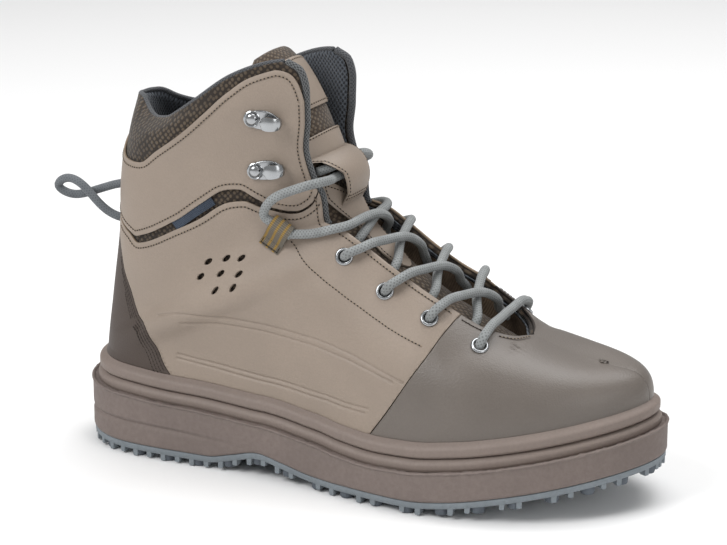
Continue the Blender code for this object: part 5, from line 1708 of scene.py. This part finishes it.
def build_hooks(grid):
    """Riveted plates with a bent tongue of metal."""
    for side, name in SIDES:
        for number, (u, w, tilt) in enumerate(HOOKS, 1):
            frame = seated(grid, side, u, w, tilt, HARDWARE_LIFT)
            rivet = dome(RIVET_RADIUS, RIVET_HEIGHT * 0.9, HOOK_PLATE * 0.9)
            ring = turned([(RIVET_RADIUS * r, HOOK_PLATE * z) for r, z in RIVET_RING], 32)
            rivet = (rivet[0] - (RIVET_PLACE, 0, 0), rivet[1])
            ring = (ring[0] - (RIVET_PLACE, 0, 0), ring[1])
            nose = sheet_pair(*hook_nose())
            plate = oval_plate(HOOK_LENGTH, HOOK_WIDTH, HOOK_PLATE)
            points, faces, _ = joined([plate, rivet, ring, nose])
            points = transformed(frame, points)
            made = piece(f"hook_plate_{name}_{number}", points, faces, "chrome", "hook_metal", sharp=50)
            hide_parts(f"hook_{name}_{number}")


def build_keepers(grid):
    """Folded striped webbing round the lace, stitched down at its rear."""
    for side, name in SIDES:
        frame = seated(grid, side, *KEEPER, HARDWARE_LIFT - 0.0002)
        x_back = -0.56 * KEEPER_LENGTH
        centre_x, centre_z = LACE_PLACE_IN_KEEPER, LACE_HEIGHT_IN_KEEPER
        radius = LACE_RADIUS + 0.0007
        path = [(x_back, 0.0016), (x_back + 0.003, 0.0017), (-0.25 * KEEPER_LENGTH, 0.0020)]
        angles = np.radians(np.linspace(128, -128, 15))
        path += [(centre_x + radius * math.cos(a) * 1.08, centre_z + radius * math.sin(a)) for a in angles]
        path += [(-0.10 * KEEPER_LENGTH, 0.0009), (-0.30 * KEEPER_LENGTH, 0.0005)]
        path += [(x_back + 0.003, 0.0004), (x_back, 0.0004)]
        line = along_route(np.array([(x, 0.0, z) for x, z in path]), 0.0007)
        line[:, 2] = np.maximum(line[:, 2], 0.0003)
        tangent = unit(np.gradient(line, axis=0))
        outward = np.column_stack([-tangent[:, 2], np.zeros(len(line)), tangent[:, 0]])
        across = np.linspace(-1, 1, 15)
        top, low, uv = [], [], []
        run = run_lengths(line)
        for k, point in enumerate(line):
            for c in across:
                y = np.array((0, c * KEEPER_WIDTH / 2, 0))
                top.append(point + y + outward[k] * 0.0011)
                low.append(point + y)
                uv.append((run[k], c * KEEPER_WIDTH / 2))
        points, faces = sheet_pair(np.array(top), np.array(low), (len(line), len(across)))
        points = transformed(frame, points)
        made = piece(f"keeper_webbing_{name}", points, faces, "webbing", "webbing", uv + uv, sharp=60)
        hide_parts(f"keeper_{name}")
        seams = Seams()
        box = []
        for x, y in ((-0.50, -0.42), (-0.50, 0.42), (-0.28, 0.42), (-0.28, -0.42), (-0.50, -0.42)):
            box.append((x * KEEPER_LENGTH, y * KEEPER_WIDTH, 0.0029))
        normal = np.array(frame)[:3, 2]
        for a, b in zip(box, box[1:]):
            ends = transformed(frame, [a, b])
            seams.free(ends, [normal, normal], 0.0017)
        seams.make(f"keeper_seam_{name}", "dark_thread", "webbing")


def tongue_normals(points):
    """Normals of the tongue's front, which looks towards the toe."""
    normal = np.cross(np.gradient(points, axis=1), np.gradient(points, axis=0))
    normal = normal / np.maximum(np.linalg.norm(normal, axis=-1, keepdims=True), 1e-12)
    return -normal if normal[len(points) // 2, points.shape[1] // 2][0] < 0 else normal


def grid_uv(u, v):
    """Pairs for a grid of points from what u and v are along its rows and columns."""
    return np.stack(np.broadcast_arrays(u, v), -1).reshape(-1, 2)


TONGUE_TOP_CORNER = 0.055
# Soft folds across the tongue: place down it, width and height
TONGUE_FOLDS = (
    (0.46, 0.012, -0.0007), (0.52, 0.016, 0.0006), (0.60, 0.015, -0.0006), (0.68, 0.016, 0.0005),
    (0.76, 0.014, -0.0005),
)
# What the uv of the tongue's cloth measures across half of it and down it, in metres
TONGUE_CLOTH = (0.026, 0.215)
TUNNEL_REACH = (0.298, 0.440)
# Half width of the lower patch down its length
WING_HALF = (
    (0.0, 0.72), (0.16, 0.74), (0.52, 0.34), (0.80, 0.34), (0.88, 0.31), (0.94, 0.24), (0.98, 0.14),
    (1.0, 0.05),
)


def tongue_front(v, s):
    """Front of the tongue, its upper corners rounded off, with its normals."""
    narrow = np.sqrt(np.clip(1 - (1 - np.clip(v / TONGUE_TOP_CORNER, 0, 1)) ** 2.2, 0.0, 1))
    narrow = 0.72 + 0.28 * narrow
    points = tongue_point(v[:, None], s[None, :] * narrow[:, None]) + SHIFT
    return points, tongue_normals(points)


PATCH_ROWS = 60


def build_tongue(grid):
    """Padded tongue with its strap, patches and seams."""
    v, s = np.linspace(0, 1, 150), np.sin(np.linspace(-math.pi / 2, math.pi / 2, 61))
    points, normal = tongue_front(v, s)
    edge = np.sqrt(np.clip(1 - np.abs(s) ** 5, 0, 1))[None, :]
    top = np.sqrt(np.clip(1 - (1 - np.clip(v / 0.02, 0, 1)) ** 2, 0, 1))[:, None]
    full, folds = edge * top, np.zeros((len(v), len(s)))
    for place, width, height in TONGUE_FOLDS:
        bend = place + 0.02 * s[None, :] ** 2
        folds = folds + height * np.exp(-(((v[:, None] - bend) / width) ** 2))
    front = points + normal * ((full - 1) * TONGUE_THICK / 2 + folds)[..., None]
    back = points - normal * (TONGUE_THICK / 2 + full * TONGUE_THICK / 2)[..., None]
    made_points, faces = sheet_pair(front.reshape(-1, 3), back.reshape(-1, 3), front.shape[:2])
    uv = grid_uv(s[None, :] * TONGUE_CLOTH[0], v[:, None] * TONGUE_CLOTH[1])
    tongue = piece("tongue_pad", made_points, faces, "tongue", "textile", np.vstack([uv, uv]))
    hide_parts("tongue")

    def patch(name, v_range, s_range, base, thickness, shape=None, rise=None, soft_edge=True):
        """Leather sewn on the tongue; shape(v, s, share down it) moves its outline."""
        a, b = np.linspace(0, 1, PATCH_ROWS), np.linspace(0, 1, PATCH_ROWS)
        va = v_range[0] + (v_range[1] - v_range[0]) * a[:, None] + np.zeros((1, len(b)))
        sb = s_range[0] + (s_range[1] - s_range[0]) * b[None, :] + np.zeros((len(a), 1))
        if shape:
            va, sb = shape(va, sb, a[:, None])
        low = tongue_point(va, sb) + SHIFT
        face = tongue_normals(low)
        if soft_edge:
            inset = np.minimum(np.minimum(a, 1 - a)[:, None], np.minimum(b, 1 - b)[None, :])
            soft = 1 - np.exp(-inset / 0.02)
        else:
            soft = np.ones((len(a), len(b)))
        height = base + (rise(a[:, None]) if rise else 0.0)
        low_points = low + face * np.broadcast_to(height, soft.shape)[..., None]
        top_points = low_points + face * (thickness * (0.75 + 0.25 * soft))[..., None]
        made, made_faces = sheet_pair(top_points.reshape(-1, 3), low_points.reshape(-1, 3), soft.shape)
        flat = grid_uv(sb * TONGUE_CLOTH[0], va * TONGUE_CLOTH[1])
        flat = np.vstack([flat, flat])
        return piece(name, made, made_faces, "taupe", "taupe_leather", flat, sharp=45), top_points, face

    seams = Seams()

    def sewn(made, lines):
        """Stitches along rows or columns of a patch, given as pairs of index lists."""
        _, top, face = made
        for rows, columns in lines:
            seams.free(top[rows, columns] + 0.0001 * face[rows, columns], face[rows, columns])

    every = np.arange(2, PATCH_ROWS - 2)

    def across(row):
        return np.full(len(every), row), every

    def along(place):
        return every, np.full(len(every), place)

    def bridge(v, s, a):
        return v, s * np.interp(a, (0.0, 0.14, 0.45, 0.82, 1.0), (0.92, 0.62, 0.40, 0.38, 0.46))

    def arch(a):
        return np.sin(np.pi * np.clip((a - 0.02) / 0.96, 0, 1)) ** 0.7 * STRAP_RISE

    def bowed(v, s, a):
        return v + 0.012 * s**2, s

    def wings(v, s, a):
        return v + 0.075 * (1 - np.abs(s)) * (1 - a), s * np.interp(a, *zip(*WING_HALF))

    strap = patch(
        "tongue_tunnel_strap", TUNNEL_REACH, (-1, 1), 2 * GAP + 0.0006, OVERLAY, bridge, arch, False,
    )
    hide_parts("tongue_strap")
    sewn(strap, [across(55), across(52), along(3), along(56)])
    band_reach = (0.236, TUNNEL_REACH[0] + 0.010)
    band = patch("tongue_band", band_reach, (-0.95, 0.95), 0.0004, 0.0012, bowed)
    sewn(band, [across(4), across(52)])
    top = patch("tongue_top_patch", (0.056, 0.173), (-0.66, 0.60), 0.0004, 0.0010)
    sewn(top, [across(55), across(4)])
    lower = patch("tongue_lower_patch", (0.352, 0.660), (-1, 1), 0.0004, 0.0011, wings)
    sewn(lower, [across(3), along(4), along(55)])
    seams.make("tongue_seam", "thread", "taupe_leather")
    for side, name in SIDES:
        gusset(grid, side, name)


def gusset(grid, side, name):
    """Textile between the tongue's edge and the inside of the throat."""
    v, share = np.linspace(0.42, 1.0, 90), np.linspace(0, 1, 12)
    inner = tongue_point(v, np.full_like(v, side * 0.86), -0.0012) + SHIFT
    u = np.linspace(0.40, THROAT_U, 400)
    edge, normal = grid.at(side, u, np.full_like(u, 0.955))
    rim = edge - normal * (WALL + 0.0010)
    nearest = np.array([np.argmin(np.linalg.norm(rim - point, axis=1)) for point in inner])
    nearest = np.maximum.accumulate(nearest)
    outer = rim[nearest]
    weight = np.exp(-(np.arange(-6, 7) / 3.0) ** 2)
    padded_rows = np.pad(outer, ((6, 6), (0, 0)), mode="edge")
    outer = np.stack([np.convolve(padded_rows[:, k], weight / weight.sum(), "valid") for k in range(3)], -1)
    sag = np.sin(math.pi * share)[None, :, None] * np.array((0.0, 0.0, -0.0016))
    points = inner[:, None] * (1 - share)[None, :, None] + outer[:, None] * share[None, :, None] + sag
    faces = []
    for i in range(len(v) - 1):
        for j in range(len(share) - 1):
            a = i * len(share) + j
            ring = (a, a + len(share), a + len(share) + 1, a + 1)
            faces.append(ring if side < 0 else ring[::-1])
    uv = grid_uv(share[None, :] * 0.012, v[:, None] * TONGUE_CLOTH[1])
    made = piece(f"tongue_gusset_{name}", points.reshape(-1, 3), faces, "ribbed", "textile", uv)
    solid(made, 0.0009)


PIPING_RADIUS = 0.00135
BINDING_RADIUS = 0.0019


def build_lining(grid):
    """Padded inner lining, the piping along the collar and the binding along the front edges."""
    sheet = layer(grid, step=3)
    u, w = sheet.rows[:, 6], sheet.rows[:, 7]
    puff = np.sin(math.pi * np.clip(u / 0.46, 0, 1)) ** 0.6 * np.clip((0.99 - w) / 0.20, 0, 1) ** 0.5
    depth = WALL + 0.0002 + LINING_PAD * puff
    depth = np.where(u < 0.003, WALL * 0.6, depth)
    made = piece("knit_lining", sheet.lifted(-depth), sheet.faces, "lining", "textile", sheet.cloth_uv())
    solid(made, 0.0006)
    w = np.linspace(0, 1, 240)
    ring = []
    for side, run in ((-1, w[::-1]), (1, w[1:])):
        point, normal = grid.at(side, np.zeros_like(run), run)
        below, _ = grid.at(side, np.full_like(run, 0.012), run)
        ring.append(point - normal * (WALL / 2) + unit(point - below) * 0.0006)
    ring = resampled(np.vstack(ring), 0.0016)
    tube("collar_piping", ring, PIPING_RADIUS, "piping", "textile", 12, 0.011)
    for side, name in SIDES:
        u = np.linspace(0.0, 0.40, 200)
        point, normal = grid.at(side, u, np.ones_like(u))
        back, _ = grid.at(side, u, np.full_like(u, 0.985))
        line = resampled(point - normal * 0.0012 + unit(point - back) * 0.0009, 0.0016)
        paint = "binding" if side < 0 else "piping"
        tube(f"front_binding_{name}", line, BINDING_RADIUS, paint, "textile", 12, 0.012)


LABEL_HALF = 0.0031


def build_label(grid):
    """Bare cloth label on the textile stripe."""
    count = 40
    u, w = np.linspace(0.311, 0.283, count), np.linspace(0.541, 0.687, count)
    centre, normal = grid.at(-1, u, w)
    across = np.cross(normal, unit(np.gradient(centre, axis=0)))
    share = np.linspace(-1, 1, 13)
    low = centre[:, None] + share[None, :, None] * LABEL_HALF * across[:, None] + 0.0005 * normal[:, None]
    top = low + 0.0007 * normal[:, None] * (1 - 0.3 * share[None, :, None] ** 6)
    points, faces = sheet_pair(top.reshape(-1, 3), low.reshape(-1, 3), (count, len(share)))
    run = run_lengths(centre)
    uv = grid_uv(run[:, None], share[None, :] * LABEL_HALF)
    piece("stripe_label", points, faces, "label", "textile", np.vstack([uv, uv]), sharp=45)


def above(base, *rises):
    """Height function that lies the given rises above another one."""
    def height(x):
        value = base(x)
        for rise in rises:
            value = value + rise
        return value
    return height


def sole_band(name, levels, places, paint, slot, closed=False):
    """Layer of the sole from rings of (inset, height function)."""
    rings = [edge_ring(places, inset, height) + SHIFT for inset, height in levels]
    count = len(rings[0])
    points = np.vstack(rings)
    faces = band_faces(count, len(rings), closed)
    if not closed:
        last = (len(rings) - 1) * count
        for i in range(len(places) - 1):
            far, farther = (count - i) % count, count - i - 1
            for corners in ((i, i + 1, farther), (i, farther, far)):
                if len(set(corners)) == 3:
                    faces.append(corners[::-1])
                    faces.append(tuple(k + last for k in corners))
    return piece(name, points, faces, paint, slot, sharp=50)


# Rolled lip of the midsole's upper edge: inset and height above its top
MIDSOLE_LIP = (
    (0.0000, -0.0007), (-0.0004, -0.0004), (-0.0006, 0.0001), (-0.0003, 0.0006), (0.0003, 0.0008),
    (0.0009, 0.0006), (0.0012, 0.0001), (0.0016, 0.0), (0.0034, 0.0001), (0.0060, 0.0001),
)


def build_sole():
    """Midsole, welt, rand and insole as closed bands round the sole's edge, then the tread."""
    places = stations(190)
    levels = [
        (0.0030, midsole_bottom), (SIDE_BEVEL / 3, midsole_bottom),
        (0.0001, above(midsole_bottom, SIDE_BEVEL * 0.5)),
    ]

    def side_height(share):
        def height(x):
            wall = midsole_top(x) - midsole_bottom(x) - 1.4 * SIDE_BEVEL
            return midsole_bottom(x) + SIDE_BEVEL * 0.6 + share * wall
        return height

    def side_inset(share):
        def inset(x):
            height = side_height(share)(x)
            gap = (height - groove_height(x)) / 0.0010
            return groove_depth(x) * 1.3 * np.exp(-gap**2)
        return inset

    for share in np.linspace(0.0, 1.0, 44):
        levels.append((side_inset(share), side_height(share)))
    levels += [(inset, above(midsole_top, rise)) for inset, rise in MIDSOLE_LIP]
    midsole_piece = sole_band("midsole_foam", levels, places, "midsole", "sole_brown")
    roughen(midsole_piece, lip_reach=0.0016)
    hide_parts("midsole")
    bead = []
    for share in np.linspace(0, 1, 16):
        round_in = 0.0026 * max(share - 0.45, 0) ** 2.4 / 0.55**2.4 + 0.0004 * max(0.2 - share, 0) / 0.2
        bead.append((WELT_INSET + round_in, above(midsole_top, 0.0001, share * (WELT_THICK + 0.0001))))
    welt_piece = sole_band("welt_bead", bead, places, "rand", "sole_brown")
    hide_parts("welt")
    inside = UPPER_INSET - GAP
    profile = [(inside, above(seat, GAP))]
    for share in np.linspace(0, 1, 17):
        angle = share * math.pi * 0.62
        lean = 1 - math.cos(max(angle - 0.35 * math.pi, 0))
        depth = RAND_INSET + (inside - RAND_INSET) * lean * 1.9
        lower = RAND_INSET + 0.0016 * (1 - min(share / 0.22, 1)) ** 2
        inset = min(max(depth, lower), inside)
        profile.append((inset, above(seat, GAP, share * (RAND_HEIGHT - 0.0004))))
    for further, rise in ((-0.0012, 0.0003), (0.0006, 0.0004), (0.0012, -0.0002)):
        profile.append((inside + further, above(brim, rise)))
    rand_piece = sole_band("rand_band", profile, places, "rand", "sole_brown", closed=True)
    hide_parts("rand")
    bed = UPPER_INSET + WALL + INSOLE_CLEARANCE
    soft = ((0, 0), (0, INSOLE_THICK * 0.6), (0.0008, INSOLE_THICK * 0.92), (0.003, INSOLE_THICK))
    soft = [(bed + further, above(seat, GAP, rise)) for further, rise in soft]
    insole_piece = sole_band("insole_bed", soft, stations(90), "insole", "insole_cloth")
    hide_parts("insole")
    build_tread(places)


def roughen(made, lip_reach):
    """Small seeded unevenness on the midsole's upper lip."""
    rng = np.random.default_rng(7)
    mesh = made.data
    points = np.zeros(len(mesh.vertices) * 3)
    mesh.vertices.foreach_get("co", points)
    points = points.reshape(-1, 3)
    top = midsole_top(points[:, 0] - SHIFT[0])
    near = np.exp(-(((points[:, 2] - top - 0.0003) / lip_reach) ** 2))
    wave = rng.normal(0, 1, len(points))
    points[:, 2] += near * wave * 0.00018
    mesh.vertices.foreach_set("co", points.ravel())
    mesh.update()


PEG_PITCH = 0.0086
PEG_WIDTH = 0.0026
PEG_DEPTH = 0.0045
# Share of the sole's length in front of which every third peg is left out
PEG_FRONT = 0.45


def downward(count, rings, base=0):
    """Quads between rings that follow each other downwards; base is the first ring's first point."""
    return [(b + base, a + base, d + base, c + base) for a, b, c, d in band_faces(count, rings, False)]


def build_tread(places):
    """Outsole plate with round studs, and pegs along its edge."""
    levels = [
        (PLATE_INSET + 0.0006, plate_bottom), (PLATE_INSET, above(plate_bottom, 0.0006)),
        (PLATE_INSET, above(plate_top, -0.0003)), (PLATE_INSET + 0.0004, plate_top),
    ]
    plate = sole_band("outsole_plate", levels, places, "outsole", "outsole_rubber")
    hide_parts("outsole")
    shapes = []
    for x, y, radius in stud_places():
        tip, root = float(ground(x)), float(plate_bottom(x)) + 0.0006
        wide = radius + STUD_DRAFT
        rings = [
            (wide, root), (radius + STUD_DRAFT * 0.4, tip + 0.0008), (radius * 0.95, tip + 0.0002),
            (radius * 0.82, tip), (radius * 0.30, tip),
        ]
        sides = 28 if radius > SMALL_STUD_RADIUS else 20
        points = [(0, 0, root), (0, 0, tip)]
        for r, z in rings:
            points += [(r * math.cos(a), r * math.sin(a), z) for a in circle(sides)]
        faces = downward(sides, len(rings), 2)
        last = 2 + (len(rings) - 1) * sides
        for i in range(sides):
            j = (i + 1) % sides
            faces.append((0, 2 + i, 2 + j))
            faces.append((1, last + j, last + i))
        shapes.append((np.array(points) + (x, y, 0) + SHIFT, faces))
    points, faces, _ = joined(shapes)
    piece("tread_studs", points, faces, "under", "outsole_rubber", sharp=40)
    shapes = []
    for side in (-1, 1):
        here = np.linspace(0.02, len(OUTLINE) - 1.02, 800)
        edge, tangent, outward = outline_point(here, side, PLATE_INSET + 0.0002)
        run = run_lengths(edge)
        for number, length in enumerate(np.arange(PEG_PITCH / 2, run[-1], PEG_PITCH)):
            centre, ahead, out = (
                np.array([np.interp(length, run, table[:, k]) for k in range(2)])
                for table in (edge, tangent, outward)
            )
            x = centre[0]
            tip, root = float(ground(x)), float(plate_bottom(x)) + 0.0012
            if x > PEG_FRONT * SOLE_LENGTH and number % 3 == 1:
                continue
            drop = tip + (0.0003 if number % 2 else 0.0009)
            points = []
            for z, grow in ((root, 1.12), (drop + 0.0006, 1.0), (drop, 0.82)):
                for along, deep in ((-0.5, 0.0), (0.5, 0.0), (0.5, 1.0), (-0.5, 1.0)):
                    inner = 0.02 + deep * grow
                    inward = deep * PEG_DEPTH * grow + 0.0001 * (1 - inner)
                    flat = centre + ahead * along * PEG_WIDTH * grow - out * inward
                    points.append((*flat, z))
            faces = [(0, 1, 2, 3), (11, 10, 9, 8)] + downward(4, 3)
            shapes.append((np.array(points) + SHIFT, faces))
    points, faces, _ = joined(shapes)
    piece("edge_pegs", points, faces, "outsole", "outsole_rubber", flat=True)


def build_camera():
    turn, rise = math.radians(CAMERA_TURN), math.radians(CAMERA_RISE)
    away = Vector((math.sin(turn) * math.cos(rise), -math.cos(turn) * math.cos(rise), math.sin(rise)))
    eye = bpy.data.cameras.new("photo_camera")
    eye.sensor_width = SENSOR_WIDTH
    eye.lens = CAMERA_FOCAL * SENSOR_WIDTH / PICTURE_WIDTH
    eye.shift_x, eye.shift_y = -CAMERA_SHIFT[0] / PICTURE_WIDTH, CAMERA_SHIFT[1] / PICTURE_WIDTH
    eye.clip_start, eye.clip_end = 0.01, 30
    camera = bpy.data.objects.new("photo_camera", eye)
    camera.location = Vector(CAMERA_TARGET) + CAMERA_DISTANCE * away
    camera.rotation_euler = away.to_track_quat("Z", "Y").to_euler()
    bpy.context.scene.collection.objects.link(camera)
    bpy.context.scene.camera = camera


def area_light(name, place, target, size, power):
    lamp = bpy.data.lights.new(name, "AREA")
    lamp.size = size
    lamp.energy = power
    made = bpy.data.objects.new(name, lamp)
    made.location = place
    made.rotation_euler = (Vector(place) - Vector(target)).to_track_quat("Z", "Y").to_euler()
    bpy.context.scene.collection.objects.link(made)


FLOOR_HALF = 6.0
SKY_STRENGTH = 0.42
# Square lights: name, place, what each looks at, size and power
LIGHTS = (
    ("key_light", (-0.9, -1.3, 1.5), (0, 0, 0.08), 1.0, 30),
    ("top_light", (0.3, 0.5, 1.9), (0, 0, 0.05), 1.6, 34),
    ("fill_light", (1.6, -0.8, 0.7), (0, 0, 0.08), 0.8, 6),
)


def build_studio():
    shade = Shade("pale_floor", (0.86, 0.86, 0.86), 0.6)
    soft = shade.noise(shade.place(), 2.0)
    shade.colour(shade.mix(soft, (0.85, 0.85, 0.85), (0.87, 0.87, 0.87)))
    mesh = bpy.data.meshes.new("studio_floor")
    corners = [(x * FLOOR_HALF, y * FLOOR_HALF, 0) for x, y in ((-1, -1), (1, -1), (1, 1), (-1, 1))]
    mesh.from_pydata(corners, [], [(0, 1, 2, 3)])
    mesh.materials.append(shade.material)
    floor = bpy.data.objects.new("studio_floor", mesh)
    bpy.context.scene.collection.objects.link(floor)
    world = bpy.data.worlds.new("white_studio")
    world.use_nodes = True
    background = world.node_tree.nodes["Background"]
    background.inputs["Color"].default_value = (1.0, 1.0, 1.0, 1.0)
    background.inputs["Strength"].default_value = SKY_STRENGTH
    bpy.context.scene.world = world
    bpy.context.scene.view_settings.view_transform = "Standard"
    for light in LIGHTS:
        area_light(*light)


def main():
    build_camera()
    u = np.unique(np.concatenate([np.linspace(0, 1, FINE_U), [CORNER_U, THROAT_U]]))
    grid = Grid(u, np.linspace(0, 1, FINE_W))
    build_cords(grid)
    build_sole()
    build_overlays(grid)
    build_seams(grid)
    build_lining(grid)
    build_label(grid)
    build_tongue(grid)
    build_eyelets(grid)
    build_hooks(grid)
    build_keepers(grid)
    build_studio()


main()
